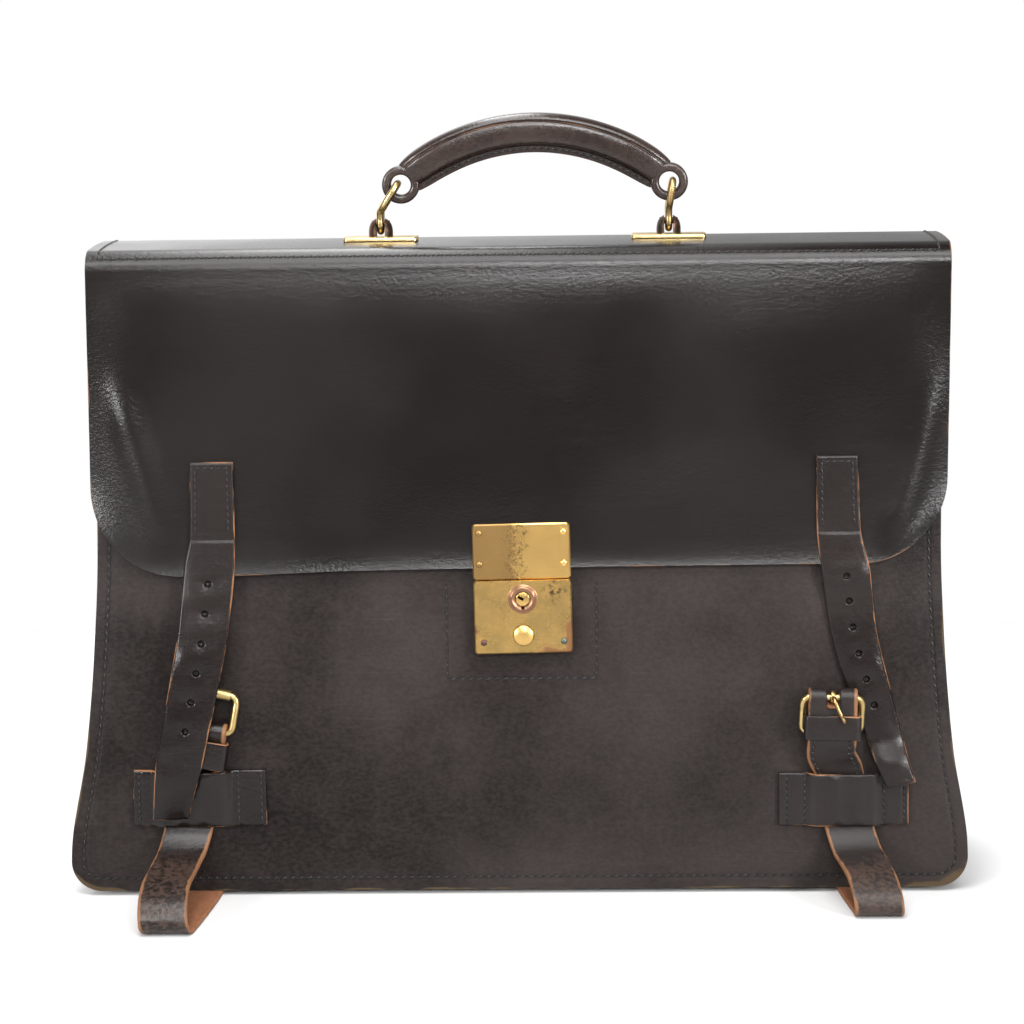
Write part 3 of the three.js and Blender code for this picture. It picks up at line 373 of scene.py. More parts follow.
def curve_through(anchors, per_span, closed=False):
    """Centripetal Catmull-Rom curve: cubics whose end slopes come from chords weighted by root length."""
    given = np.asarray(anchors, float)
    if closed:
        whole = np.concatenate([given[-1:], given, given[:2]])
    else:
        whole = np.concatenate([2 * given[:1] - given[1:2], given, 2 * given[-1:] - given[-2:-1]])
    p0, p1, p2, p3 = whole[:-3], whole[1:-2], whole[2:-1], whole[3:]
    chords = (p1 - p0, p2 - p1, p3 - p2)
    d0, d1, d2 = (np.linalg.norm(chord, axis=1, keepdims=True) ** 0.5 for chord in chords)
    m1 = ((p1 - p0) / d0 - (p2 - p0) / (d0 + d1) + (p2 - p1) / d1) * d1
    m2 = ((p2 - p1) / d1 - (p3 - p1) / (d1 + d2) + (p3 - p2) / d2) * d1
    t = (np.arange(per_span) / per_span)[None, :, None]
    line = cubic(*(ends[:, None, :] for ends in (p1, p2, m1, m2)), t).reshape(-1, given.shape[1])
    return line if closed else np.concatenate([line, given[-1:]])


def run_of(line):
    """Length along a polyline up to each of its points."""
    return np.concatenate([[0], np.cumsum(np.linalg.norm(np.diff(line, axis=0), axis=1))])


def along_line(line, run, places):
    """Points at the given places on a polyline, where run is the place of each of its own points."""
    return np.stack([np.interp(places, run, line[:, k]) for k in range(line.shape[1])], -1)


def even_line(line, step):
    """A polyline with its points spaced evenly, about step apart."""
    run = run_of(line)
    return along_line(line, run, np.linspace(0, run[-1], max(2, int(run[-1] / step) + 1)))


def even_loop(loop, step):
    """A closed polyline with its points spaced evenly."""
    return even_line(np.concatenate([loop, loop[:1]]), step)[:-1]


def slopes(line, closed=False):
    if closed:
        return unit(np.roll(line, -1, 0) - np.roll(line, 1, 0))
    return unit(np.gradient(line, axis=0))


# Shapes as vertices and faces

def quads(*corners):
    return np.stack(corners, -1).reshape(-1, 4)


def volume_of(verts, faces):
    """Six times the volume under four-sided faces, as a sum of tetrahedra to the origin."""
    a, b, c, d = (verts[faces[:, k]] for k in range(4))
    return np.einsum("ij,ij->", a, np.cross(b, c)) + np.einsum("ij,ij->", a, np.cross(c, d))


def facing_out(verts, faces):
    """Faces of a closed skin, turned so that its volume is positive."""
    return faces if volume_of(verts, faces) > 0 else faces[:, ::-1]


def wall(front, back):
    """Closed wall between two grids of the same size: both faces and the four rims."""
    rows, cols = front.shape[:2]
    a = np.arange(rows * cols).reshape(rows, cols)
    b = a + rows * cols
    faces = np.concatenate([
        quads(a[:-1, :-1], a[1:, :-1], a[1:, 1:], a[:-1, 1:]),
        quads(b[:-1, :-1], b[:-1, 1:], b[1:, 1:], b[1:, :-1]),
        quads(a[:-1, 0], b[:-1, 0], b[1:, 0], a[1:, 0]),
        quads(a[:-1, -1], a[1:, -1], b[1:, -1], b[:-1, -1]),
        quads(a[0, :-1], a[0, 1:], b[0, 1:], b[0, :-1]),
        quads(a[-1, :-1], b[-1, :-1], b[-1, 1:], a[-1, 1:]),
    ])
    verts = np.concatenate([front.reshape(-1, 3), back.reshape(-1, 3)])
    return verts, facing_out(verts, faces).tolist()


def sheet(middle, thickness):
    """Both faces of a sheet: its middle grid moved half the thickness along and against its normals."""
    normal = unit(np.cross(np.gradient(middle, axis=0), np.gradient(middle, axis=1)))
    return middle + normal * thickness / 2, middle - normal * thickness / 2


def rings_mesh(rings, closed=False):
    """Skin over rings of points. Each ring closes on itself, and the ends are capped or joined."""
    count, sides = rings.shape[:2]
    index = np.arange(count * sides).reshape(count, sides)
    low = index if closed else index[:-1]
    high = np.roll(index, -1, 0) if closed else index[1:]
    faces = quads(low, high, np.roll(high, -1, 1), np.roll(low, -1, 1))
    verts = rings.reshape(-1, 3)
    if closed:
        return verts, facing_out(verts, faces).tolist()
    volume = volume_of(verts, faces)
    for ring, turn in ((index[0], 1), (index[-1], -1)):
        corners = verts[ring]
        fan = np.cross(np.roll(corners, -1, 0), corners.mean(0))
        volume += turn * np.einsum("ij,ij->", corners, fan)
    caps = [index[0].tolist(), index[-1, ::-1].tolist()]
    if volume < 0:
        return verts, faces[:, ::-1].tolist() + [cap[::-1] for cap in caps]
    return verts, faces.tolist() + caps


def band_section(width, thickness, radius, crown=0.0, across=13, round_steps=4):
    """Rounded rectangle, crowned on its outer face: a strap's section, and each point's inner-face mark."""
    arc = np.linspace(0, np.pi / 2, round_steps + 1)[1:]
    flat = np.linspace(-1, 1, across) * (width / 2 - radius)
    top = points(flat, thickness / 2 + crown * (1 - (flat / (width / 2)) ** 2))
    right = points(width / 2 - radius + radius * np.sin(arc), thickness / 2 - radius + radius * np.cos(arc))
    bottom = points(flat[::-1], -thickness / 2)
    lower_right, lower_left, left = right[::-1] * (1, -1), right * (-1, -1), right[::-1] * (-1, 1)
    section = np.concatenate([top, right, lower_right, bottom, lower_left, left])
    inner = np.repeat([0.0, 1.0, 0.0], [across + round_steps, across + 2 * round_steps, round_steps])
    return section, inner


def carry(line, across, out, section):
    """Rings of a section along a line: each point plus across times the section's x and out times its y."""
    return line[:, None, :3] + across[:, None] * section[None, :, :1] + out[:, None] * section[None, :, 1:]


def round_turn(sides):
    return np.arange(sides) / sides * 2 * np.pi


def wire(line, radius, level, sides=16, closed=True):
    """Round wire along a line: one side vector is square to the line and to level, the other to both."""
    along = slopes(line, closed)
    across = unit(np.cross(along, np.asarray(level, float)))
    turn = round_turn(sides)
    reach = np.broadcast_to(radius, len(line))[:, None]
    return carry(line, across * reach, np.cross(across, along) * reach, points(np.cos(turn), np.sin(turn)))


def revolved(profile, sides=40):
    """Rings of a profile of (radius, height) rows turned about Z."""
    profile = np.asarray(profile, float)
    turn = round_turn(sides)
    return points(profile[:, :1] * np.cos(turn), profile[:, :1] * np.sin(turn), profile[:, 1:])


def rounded_rectangle(half, low, high, radius, steps=6):
    """Points round a rectangle with round corners."""
    turn = np.linspace(0, np.pi / 2, steps + 1)
    right, top, foot = half - radius, high - radius, low + radius
    centres = [(right, top), (-right, top), (-right, foot), (right, foot)]
    arcs = [
        points(x + radius * np.cos(turn + k * np.pi / 2), z + radius * np.sin(turn + k * np.pi / 2))
        for k, (x, z) in enumerate(centres)
    ]
    return np.concatenate(arcs)


# Surfaces of the case

def side_fall(x, z):
    """How far the front falls back at the sides: quadratic in x past a line, a half sine up the case."""
    part = np.clip((z - FALL_Z[0]) / (FALL_Z[1] - FALL_Z[0]), 0, 1)
    beyond = np.maximum(0, np.abs(x - SWAY * z) - FALL_X[0]) / (FALL_X[1] - FALL_X[0])
    return SIDE_FALL * np.sin(np.pi * part) * beyond**2


def middle_y(z):
    """The front face's place in y at the middle of the case."""
    return FRONT_Y + math.tan(FRONT_LEAN) * z


def front_y(x, z):
    return middle_y(z) + side_fall(x, z)


def back_y(z):
    return BACK_Y - math.tan(BACK_LEAN) * z


def on_front(x, z, out):
    """Points over the front panel's face at x and z, moved out of the panel."""
    return points(x, front_y(x, z) - out, z)


def front_normal(x, z):
    """Normal of the front face: its slopes in x and z with -1 in y."""
    step = 0.5
    dx = (front_y(x + step, z) - front_y(x - step, z)) / (2 * step)
    dz = (front_y(x, z + step) - front_y(x, z - step)) / (2 * step)
    return unit(points(dx, -1.0, dz))


def panel_half(z):
    return table_at(PANEL_EDGE, z)


def rounded_depth(x, z, half, low, radius):
    """Distance inside the sides and the lower edge of a sheet with round lower corners."""
    over = np.abs(x) - (half - radius)
    under = low + radius - z
    outside = np.hypot(np.maximum(over, 0), np.maximum(under, 0))
    return radius - outside - np.minimum(np.maximum(over, under), 0)


def ripple(x, z):
    """Slow waves of the hide: a sum of sines of x and z, within about one each way."""
    return sum(size * np.sin(fx * x + fz * z + start) for fx, fz, start, size in WAVES)


def ridge(x, z, start, end, width):
    """A soft ridge along a line: a bell across it, fading at both ends."""
    a, b = np.array(start, float), np.array(end, float)
    length = np.linalg.norm(b - a)
    ux, uz = (b - a) / length
    along = ((x - a[0]) * ux + (z - a[1]) * uz) / length
    off = (x - a[0]) * uz - (z - a[1]) * ux
    return bell(off, width) * smooth((along + 0.25) / 0.5) * smooth((1.25 - along) / 0.5)


def panel_lift(x, z):
    """Slow unevenness of the front panel, a share of the hide's waves."""
    return PANEL_WAVE * ripple(x, z)


def flap_lift(x, z, roll):
    """Unevenness of the flap: the hide's waves, a pillow below the top roll, and a ridge at each side."""
    below = np.maximum(roll - z, 0)
    start, foot, fade, least = (PILLOW[k] for k in ("start", "foot", "fade", "least"))
    pillow = PILLOW["rise"] * (1 - np.exp(-below / start)) * smooth((foot - below) / fade)
    pillow = pillow * (least + (1 - least) * bell(x - PILLOW["x"], PILLOW["width"]))
    ridges = sum(ridge(x, z, start, end, RIDGE_WIDTH) for start, end in RIDGES)
    waves = FLAP_WAVE * ripple(x + 40, z) + 0.3 * np.sin(0.012 * x + 0.075 * z)
    return pillow + (RIDGE_RISE * ridges + waves) * smooth(below / 30)


def edge_columns(half):
    """Places across a row: the near distances in from each edge, and the rest evenly between them."""
    sides = half[:, None] - NEAR_EDGE
    middle = np.linspace(-1, 1, SHEET_COLUMNS + 2)[1:-1] * (half[:, None] - NEAR_EDGE[-1])
    return np.concatenate([-sides, middle, sides[:, ::-1]], 1)


def panel_rows(rows):
    """Heights and half widths up a panel: round its lower corners, then evenly to the top."""
    turn = np.linspace(0, np.pi / 2, CORNER_STEPS + 1)
    low = BOTTOM_Z + PANEL_CORNER_R * (1 - np.cos(turn))
    corner = panel_half(low) - PANEL_CORNER_R * (1 - np.sin(turn))
    high = np.linspace(BOTTOM_Z + PANEL_CORNER_R, PANEL_TOP_Z, rows + 1)[1:]
    return np.concatenate([low, high]), np.concatenate([corner, panel_half(high)])


def seam_groove(depth):
    """Groove that a seam pulls into the leather, a bell across the seam's line."""
    return SEAM_GROOVE * bell(depth - SEAM_INSET, 0.9)


def front_panel_shape():
    z, half = panel_rows(PANEL_ROWS)
    x = edge_columns(half)
    z = np.broadcast_to(z[:, None], x.shape)
    depth = rounded_depth(x, z, panel_half(z), BOTTOM_Z, PANEL_CORNER_R)
    out = panel_lift(x + SWAY * z, z) * smooth(depth / 20) - seam_groove(depth)
    worn = [
        share * smooth((side * x - start) / across) * smooth((top - z) / down)
        for side, start, across, top, down, share in RUBBED_CORNERS
    ]
    rubbed = depth * (1 - np.max(worn, 0))
    sheets = wall(on_front(x + SWAY * z, z, out), on_front(x + SWAY * z, z, -PANEL_T))
    return *sheets, {"edge": np.tile(rubbed.ravel(), 2)}


def top_profile():
    """Rolls of the hide over the top: heights of the top and the rolls, and the rolls' centres in y."""
    top = CREST_Z - FLAP_T / 2 - TOP_CROWN
    roll = top - TOP_ROLL_R
    back = back_y(roll) - FLAP_T / 2 - TOP_ROLL_R * math.cos(BACK_LEAN)
    front = middle_y(roll) - FLAP_GAP - FLAP_T / 2 + TOP_ROLL_R * math.cos(FRONT_LEAN)
    return top, roll, back, front


def back_and_flap_shape():
    top, roll, back_roll, front_roll = top_profile()
    flap_out = FLAP_GAP + FLAP_T / 2
    back_z, back_half = panel_rows(BACK_ROWS)
    back_turn = np.linspace(BACK_LEAN, np.pi / 2, 12)
    crown = np.linspace(-1, 1, 20)[1:-1]
    front_turn = np.linspace(np.pi / 2, FRONT_LEAN, 12)
    flap_z = np.linspace(roll, FLAP_BOTTOM_Z + FLAP_CORNER_R, 52)[1:]
    corner = np.linspace(0, np.pi / 2, 25)[1:]
    corner_z = FLAP_BOTTOM_Z + FLAP_CORNER_R * (1 - np.sin(corner))
    corner_half = FLAP_HALF - FLAP_CORNER_R * (1 - np.cos(corner))
    upper_y = np.concatenate([
        back_y(back_z) - FLAP_T / 2,
        back_roll + TOP_ROLL_R * np.cos(back_turn),
        back_roll + (front_roll - back_roll) * (crown + 1) / 2,
        front_roll - TOP_ROLL_R * np.cos(front_turn),
    ])
    upper_z = np.concatenate([
        back_z,
        roll + TOP_ROLL_R * np.sin(back_turn),
        top + TOP_CROWN * (1 - crown**2),
        roll + TOP_ROLL_R * np.sin(front_turn),
    ])
    upper_half = np.concatenate([back_half, np.full(len(upper_z) - len(back_z), FLAP_HALF)])
    z = np.concatenate([upper_z, flap_z, corner_z])
    half = np.concatenate([upper_half, np.full(len(flap_z), FLAP_HALF), corner_half])
    x = edge_columns(half)
    z = np.broadcast_to(z[:, None], x.shape)
    flap = np.arange(len(x))[:, None] >= len(upper_z)
    level = np.zeros(len(x))
    level[:len(upper_y)] = upper_y
    flap_depth = rounded_depth(x, z, FLAP_HALF, FLAP_BOTTOM_Z, FLAP_CORNER_R)
    back_depth = rounded_depth(x, z, panel_half(z), BOTTOM_Z, PANEL_CORNER_R)
    above = np.arange(len(x))[:, None] >= len(back_z)
    depth = np.where(flap, flap_depth, np.where(above, FLAP_HALF - np.abs(x), back_depth))
    lift = flap_lift(x, z, roll) * smooth((depth + 4) / 25)
    # The flap's lower edge is cut a little askew.
    z = z + flap * column(FLAP_RISE, 1, x) * smooth((FLAP_BOTTOM_Z + 60 - z) / 55)
    curl = FLAP_CURL * np.exp(-np.maximum(depth, 0) / 9) * smooth((FLAP_BOTTOM_Z + 50 - z) / 40)
    flap_y = front_y(x + SWAY * z, z) - flap_out - lift - curl
    y = np.where(flap, flap_y, level[:, None])
    outer, inner = sheet(points(x + SWAY * z, y, z), FLAP_T)
    if outer[len(back_z) // 2, 60, 1] < inner[len(back_z) // 2, 60, 1]:
        outer, inner = inner, outer
    verts, faces = wall(outer, inner)
    return verts, faces, {"edge": np.tile(depth.ravel(), 2)}


def gusset_shape():
    """Strip round the sides and base: flanges behind the panels, bends, and a web with two pleats."""
    side_z = np.linspace(GUSSET_TOP_Z, BOTTOM_Z + PANEL_CORNER_R, 60)
    turn = np.linspace(0, np.pi / 2, 14)[1:]
    corner_x = panel_half(BOTTOM_Z) - PANEL_CORNER_R
    base_x = np.linspace(corner_x, 0, 40)[1:]
    x = np.concatenate([panel_half(side_z), corner_x + PANEL_CORNER_R * np.cos(turn), base_x])
    corner_z = BOTTOM_Z + PANEL_CORNER_R * (1 - np.sin(turn))
    z = np.concatenate([side_z, corner_z, np.full(len(base_x), BOTTOM_Z)])
    in_x = np.concatenate([-np.ones(len(side_z)), -np.cos(turn), np.zeros(len(base_x))])
    in_z = np.concatenate([np.zeros(len(side_z)), np.sin(turn), np.ones(len(base_x))])
    x, in_x = (np.concatenate([a, -a[-2::-1]])[:, None] for a in (x, in_x))
    z, in_z = (np.concatenate([a, a[-2::-1]])[:, None] for a in (z, in_z))
    web = FLANGE_INSET + FLANGE_WIDTH + GUSSET_BEND_R
    bend = np.linspace(0, np.pi / 2, 7)
    flange = np.linspace(FLANGE_INSET, FLANGE_INSET + FLANGE_WIDTH, 5)
    depth = np.concatenate([flange, web - GUSSET_BEND_R * (1 - np.sin(bend[1:]))])
    inset = np.concatenate([np.zeros(5), GUSSET_BEND_R * (1 - np.cos(bend[1:]))])
    part = np.linspace(0, 1, 25)[1:-1]
    raised = smooth((z - BOTTOM_Z - PANEL_CORNER_R) / (GUSSET_TOP_Z - BOTTOM_Z - PANEL_CORNER_R))
    fold = PLEAT_DEPTH * raised * (1 - np.abs(part * 2 - 1)) ** PLEAT_SHARPNESS
    rows = len(z)
    full_depth = np.concatenate([np.tile(depth, (rows, 1)), web + fold, np.tile(depth[::-1], (rows, 1))], 1)
    to_back = np.concatenate([np.zeros(len(depth)), part, np.ones(len(depth))])
    front_in = np.concatenate([inset, np.full(len(part), inset[-1]), np.zeros(len(depth))])
    back_in = np.concatenate([np.zeros(len(depth)), np.full(len(part), inset[-1]), inset[::-1]])
    px = SWAY * z + x + in_x * full_depth
    pz = z + in_z * full_depth
    near = front_y(px, pz) + PANEL_T + FLANGE_GAP + GUSSET_T / 2 + front_in
    far = back_y(pz) - FLAP_T - GAP - GUSSET_T / 2 - back_in
    verts, faces = wall(*sheet(points(px, near + (far - near) * to_back, pz), GUSSET_T))
    edge = np.minimum(np.arange(full_depth.shape[1]), np.arange(full_depth.shape[1])[::-1])
    return verts, faces, {"edge": np.tile(np.tile(edge + 2.0, rows), 2)}


# Straps

def front_wall(x, z, out, rise, **marks):
    """Wall over the front panel from out to out plus rise, with its marks on the outer face only."""
    verts, faces = wall(on_front(x, z, out + rise), on_front(x, z, out))
    marks = {name: np.append(values, np.zeros(values.size)) for name, values in marks.items()}
    return verts, faces, marks


def flap_strap_shape(strap):
    """Strap over the front from its sections: crowned, with eased edges and punched holes."""
    sections = strap["sections"]
    top, low = sections[0][0], sections[-1][0]
    z = np.linspace(top, low, int((top - low) / 0.45))
    across = np.concatenate([[0, 0.014, 0.03, 0.05], np.linspace(0.075, 0.925, 41), [0.95, 0.97, 0.986, 1]])
    left, right, out, tilt = (column(sections, k, z)[:, None] for k in (1, 2, 3, 4))
    x = left + (right - left) * across
    height = z[:, None] + (across - 0.5) * tilt
    side = np.minimum(x - left, right - x)
    end = np.minimum(top - height, height - low - (across - 0.5) * tilt)
    edge = np.minimum(side, np.maximum(end, 0))
    round_top = STRAP_CROWN * (1 - (2 * across - 1) ** 2) * smooth((strap["tab_foot"] + 4 - height) / 14)
    crown = STRAP_T - EDGE_EASE * np.maximum(0, 1 - edge) ** 2 + 0.1 * smooth(edge / 6) + round_top
    crease = TAB_CREASE * bell(height - strap["tab_foot"] + 2.2, 0.8)
    hole_z = strap["first_hole"] - np.arange(HOLE_COUNT) * strap["pitch"]
    hole_x = (column(sections, 1, hole_z) + column(sections, 2, hole_z)) / 2
    away = np.hypot(x[..., None] - hole_x, height[..., None] - hole_z).min(-1)
    # Mark of the punched holes, sunk short of the strap's back; the finish paints it near black as their
    # shade.
    hole = smooth((HOLE_R + 0.35 - away) / 0.7)
    dished = HOLE_DISH * bell(away, 3.2)
    loose = smooth((strap["tab_foot"] - height) / 20)
    wave = 0.1 * ripple(x * 3, height * 2) + 0.4 * loose * ripple(x * 2, height * 5)
    rise = crown - crease - dished - HOLE_DEPTH * hole + wave * smooth(edge / 4)
    return front_wall(x, height, out, rise, edge=edge, hole=hole)


def keeper_raise(keeper, x):
    """How far the patch is lifted at x, from 0 on the panel to 1 over the strap."""
    a, b = keeper["tunnel"]
    rows = [
        (keeper["x"][0] - 1, 0), (a - TUNNEL_RAMP, 0), (a, TUNNEL_SHOULDER), (a + TUNNEL_RAMP / 2, 1),
        (b - TUNNEL_RAMP / 2, 1), (b, TUNNEL_SHOULDER), (b + TUNNEL_RAMP, 0), (keeper["x"][1] + 1, 0),
    ]
    return table_at(rows, x)


def keeper_out(keeper, x, z):
    part = (z - keeper["z"][0]) / (keeper["z"][1] - keeper["z"][0])
    tunnel = STRAP_T + TUNNEL_SLACK + TUNNEL_RISE * part**2
    return GAP + keeper_raise(keeper, x) * tunnel


def eased_places(low, high, inner):
    """Places from low to high, close together at both ends."""
    near = np.array([0, 0.3, 0.7, 1.2, 1.8])
    return np.concatenate([low + near, np.linspace(low + 2.4, high - 2.4, inner), high - near[::-1]])


def keeper_patch_shape(keeper):
    """Patch over the strap: its lift is a table across x with two soft folds, and its edges are eased."""
    (left, right), (low, high) = keeper["x"], keeper["z"]
    x, z = np.meshgrid(eased_places(left, right, 110), eased_places(low, high, 40))
    edge = np.min([x - left, right - x, z - low, high - z], 0)
    rows = np.abs(x[..., None] - np.array(keeper["rows"])).min(-1)
    a, b = keeper["tunnel"]
    folds = bell(x - a - 0.36 * (b - a), 3.2) + 0.7 * bell(x - a - 0.7 * (b - a), 3.4)
    wrinkle = 0.8 * folds * keeper_raise(keeper, x) + 0.1 * ripple(x * 3, z * 3)
    eased = EDGE_EASE * np.maximum(0, 1 - edge) ** 2 + ROW_PULL * bell(rows, 1.1)
    rise = KEEPER_T - eased + wrinkle * smooth(edge / 3)
    return front_wall(x, z, keeper_out(keeper, x, z), rise, edge=edge)


def front_place(x, z, roll):
    """Turn and place of a frame on the front panel: a roll about Y, then the panel's lean about X."""
    turn_x = np.array(Matrix.Rotation(-FRONT_LEAN, 3, "X"))
    turn_y = np.array(Matrix.Rotation(roll, 3, "Y"))
    return turn_x @ turn_y, on_front(x, z, 0.0)


def buckle_place(buckle):
    x, z, _ = buckle["bar"]
    return front_place(x, z, math.radians(buckle["lean"]))


def placed(spots, place):
    turn, at = place
    return spots @ turn.T + at


def buckle_strap_line(buckle):
    """Middle line of a strap and its lean: tail, fold round the bar, slack loop, base and back."""
    place = buckle_place(buckle)
    bar_z, bar_out = buckle["bar"][1:]
    lean = math.radians(buckle["lean"])

    def in_fold(along, out):
        return placed(points(0.0, -np.asarray(out, float), along), place)

    fold_r = BAR_R + FOLD_GAP + STRAP_T / 2
    turn = np.linspace(-FOLD_WRAP, np.pi + FOLD_WRAP, FOLD_POINTS)
    fold = in_fold(fold_r * np.sin(turn), bar_out - fold_r * np.cos(turn))
    meet = fold[0, 2] - bar_z - FOLD_MEET
    floor = STRAP_T / 2
    back_out = GAP + STRAP_T / 2
    slack = np.array(buckle["slack"])
    corner = np.linspace(0, np.pi / 2, 5)
    foot_x, back_x = buckle["foot_x"], buckle["back_x"]
    upper = [
        in_fold([buckle["tail_end"], meet], buckle["tail_out"]),
        fold,
        in_fold([meet], buckle["front_out"]),
        in_fold(*np.array(buckle["run"]).T),
    ]
    keeper = on_front(*np.array(buckle["keeper"]).T)
    lower = [
        points(slack[:, 0], FRONT_Y - slack[:, 1], slack[:, 2]),
        [(foot_x, FRONT_Y, floor), ((foot_x + back_x) / 2, (FRONT_Y + BACK_Y) / 2, floor)],
        points(back_x, BACK_Y + back_out * np.sin(corner), BOTTOM_Z - back_out * np.cos(corner)),
        [(back_x, back_y(z) + back_out, z) for z in (STRAP_BACK_TOP_Z / 2, STRAP_BACK_TOP_Z)],
    ]
    anchors = np.concatenate([*upper, keeper, *lower])
    leans = np.zeros(len(anchors))
    first = sum(map(len, upper))
    leans[:first] = lean
    leans[first:first + len(keeper)] = lean / 2
    line = curve_through(np.column_stack([anchors, leans]), STRAP_STEPS)
    line[:, 2] = np.maximum(line[:, 2], floor)
    return line, (2 * STRAP_STEPS, (2 + FOLD_POINTS) * STRAP_STEPS)


def strap_frames(line):
    """Across and outward directions along a strap's line: across leans from level, square to the line."""
    along = slopes(line[:, :3])
    lean = line[:, 3]
    across = points(np.cos(lean), 0.0, -np.sin(lean))
    across = unit(across - along * np.einsum("ij,ij->i", across, along)[:, None])
    return across, np.cross(along, across)


def strap_piece(line, across, out, low, high):
    """One stretch of strap between two places across its width, with its marks."""
    section, inner = band_section(high - low, STRAP_T, 0.75, 0.12, 23)
    section = section + ((low + high) / 2, 0)
    rings = carry(line, across, out, section)
    rings[..., 2] = np.maximum(rings[..., 2], 0)
    # How far the strap reaches forward of the panel: where the finish paints a sheen on the slack loop.
    slack = smooth((FRONT_Y - 6 - line[:, 1]) / 18)
    marks = {
        "edge": np.tile(STRAP_WIDTH / 2 - np.abs(section[:, 0]), len(line)),
        "flesh": np.tile(inner, len(line)),
        "slack": np.repeat(slack, len(section)),
    }
    return *rings_mesh(rings), marks


def joined(parts):
    """Several shapes as one: vertices stacked and each part's faces moved on by those before it."""
    verts, faces, marks, start = [], [], {}, 0
    for points_of, faces_of, *marks_of in parts:
        verts.append(points_of)
        faces += [[i + start for i in face] for face in faces_of]
        start += len(points_of)
        for name, values in (marks_of[0] if marks_of else {}).items():
            marks.setdefault(name, []).append(values)
    return np.concatenate(verts), faces, {name: np.concatenate(rows) for name, rows in marks.items()}


def buckle_strap_shape(buckle):
    """Strap in four stretches: the tail, two strips beside the prong's slot, and the rest."""
    line, (first, last) = buckle_strap_line(buckle)
    across, out = strap_frames(line)
    half = STRAP_WIDTH / 2
    stretches = [
        (0, first + 1, -half, half),
        (first, last + 1, -half, -SLOT_HALF),
        (first, last + 1, SLOT_HALF, half),
        (last, len(line), -half, half),
    ]
    return joined([strap_piece(line[a:b], across[a:b], out[a:b], low, high) for a, b, low, high in stretches])


def keeper_loop_shape(buckle):
    """Band round the strap: a section as wide as the loop carried round a rounded rectangle."""
    low, high, back, front = buckle["loop"]
    ring = rounded_rectangle(LOOP_HALF + LOOP_T / 2, -front + LOOP_T / 2, -back - LOOP_T / 2, 1.7, 8)
    line = np.pad(even_loop(ring, 0.6), ((0, 0), (0, 1)), constant_values=(low + high) / 2)
    up = np.broadcast_to([0.0, 0.0, 1.0], line.shape)
    section, _ = band_section(high - low, LOOP_T, 0.5, 0.1, 15)
    rings = carry(line, up, np.cross(slopes(line, True), up), section)
    edge = (high - low) / 2 - np.abs(section[:, 0])
    return *rings_mesh(placed(rings, buckle_place(buckle)), True), {"edge": np.tile(edge, len(line))}


# Buckles

def buckle_frame_shape(buckle):
    """Wire round a rounded rectangle that slopes from the heel bar out to the roller's bar."""
    roller, bar_out = buckle["roller"], buckle["bar"][2]
    flat = even_loop(rounded_rectangle(FRAME_HALF, min(0, roller), max(0, roller), FRAME_CORNER_R, 8), 0.8)
    out = bar_out + (ROLLER_OUT - bar_out) * flat[:, 1] / roller
    line = points(flat[:, 0], -out, flat[:, 1])
    return rings_mesh(placed(wire(line, BAR_R, (0, 1, 0)), buckle_place(buckle)), True)


def tube(bore, radius, half, ease):
    """Rings of a tube along X with eased outer rims."""
    profile = [
        (bore, -half), (radius - ease, -half), (radius, ease - half),
        (radius, half - ease), (radius - ease, half), (bore, half),
    ]
    return revolved(profile, 32)[..., [2, 0, 1]]


def buckle_roller_shape(buckle):
    """Tube turned about the roller's bar, with rounded ends."""
    rings = tube(ROLLER_BORE_R, ROLLER_R, ROLLER_HALF, 0.25) + (0, -ROLLER_OUT, buckle["roller"])
    return rings_mesh(placed(rings, buckle_place(buckle)), True)


def prong_shape(buckle):
    """Ring on the heel bar and a tongue that tapers to its tip."""
    bar = np.array([0, -buckle["bar"][2], 0])
    ring = tube(PRONG_BORE_R, PRONG_RING_R, PRONG_WIDTH / 2, 0.3) + bar
    path = np.array([(across, -out, along) for across, along, out in buckle["prong"]], float)
    path[0] = bar + unit(path[0] - bar) * (PRONG_RING_R - PRONG_R)
    line = even_line(curve_through(path, 8), 0.6)
    taper = PRONG_R * (1 - 0.25 * np.linspace(0, 1, len(line)) ** 2)
    taper[-1] *= 0.45
    tongue = wire(line, taper, (1, 0, 0), 14, False)
    place = buckle_place(buckle)
    return joined([rings_mesh(placed(ring, place), True), rings_mesh(placed(tongue, place))])


# Handle

TOP_MID_Y = (middle_y(CREST_Z) + back_y(CREST_Z)) / 2
SWING_Z = CREST_Z + GAP + PLATE_T + KNOB_BAR_RISE


def on_grip(place, height, half):
    """Points of the grip: along its arc, out from the arc's middle and across."""
    radius = (GRIP_HALF_SPAN**2 + GRIP_RISE**2) / (2 * GRIP_RISE)
    turn = place * math.asin(GRIP_HALF_SPAN / radius)
    reach = radius + height
    centre = EYE_Z + GRIP_RISE - radius
    return points(GRIP_X + reach * np.sin(turn), TOP_MID_Y + half, centre + reach * np.cos(turn))


def grip_taper(place):
    return [column(GRIP_TAPER, k, np.abs(place)) for k in (1, 2)]


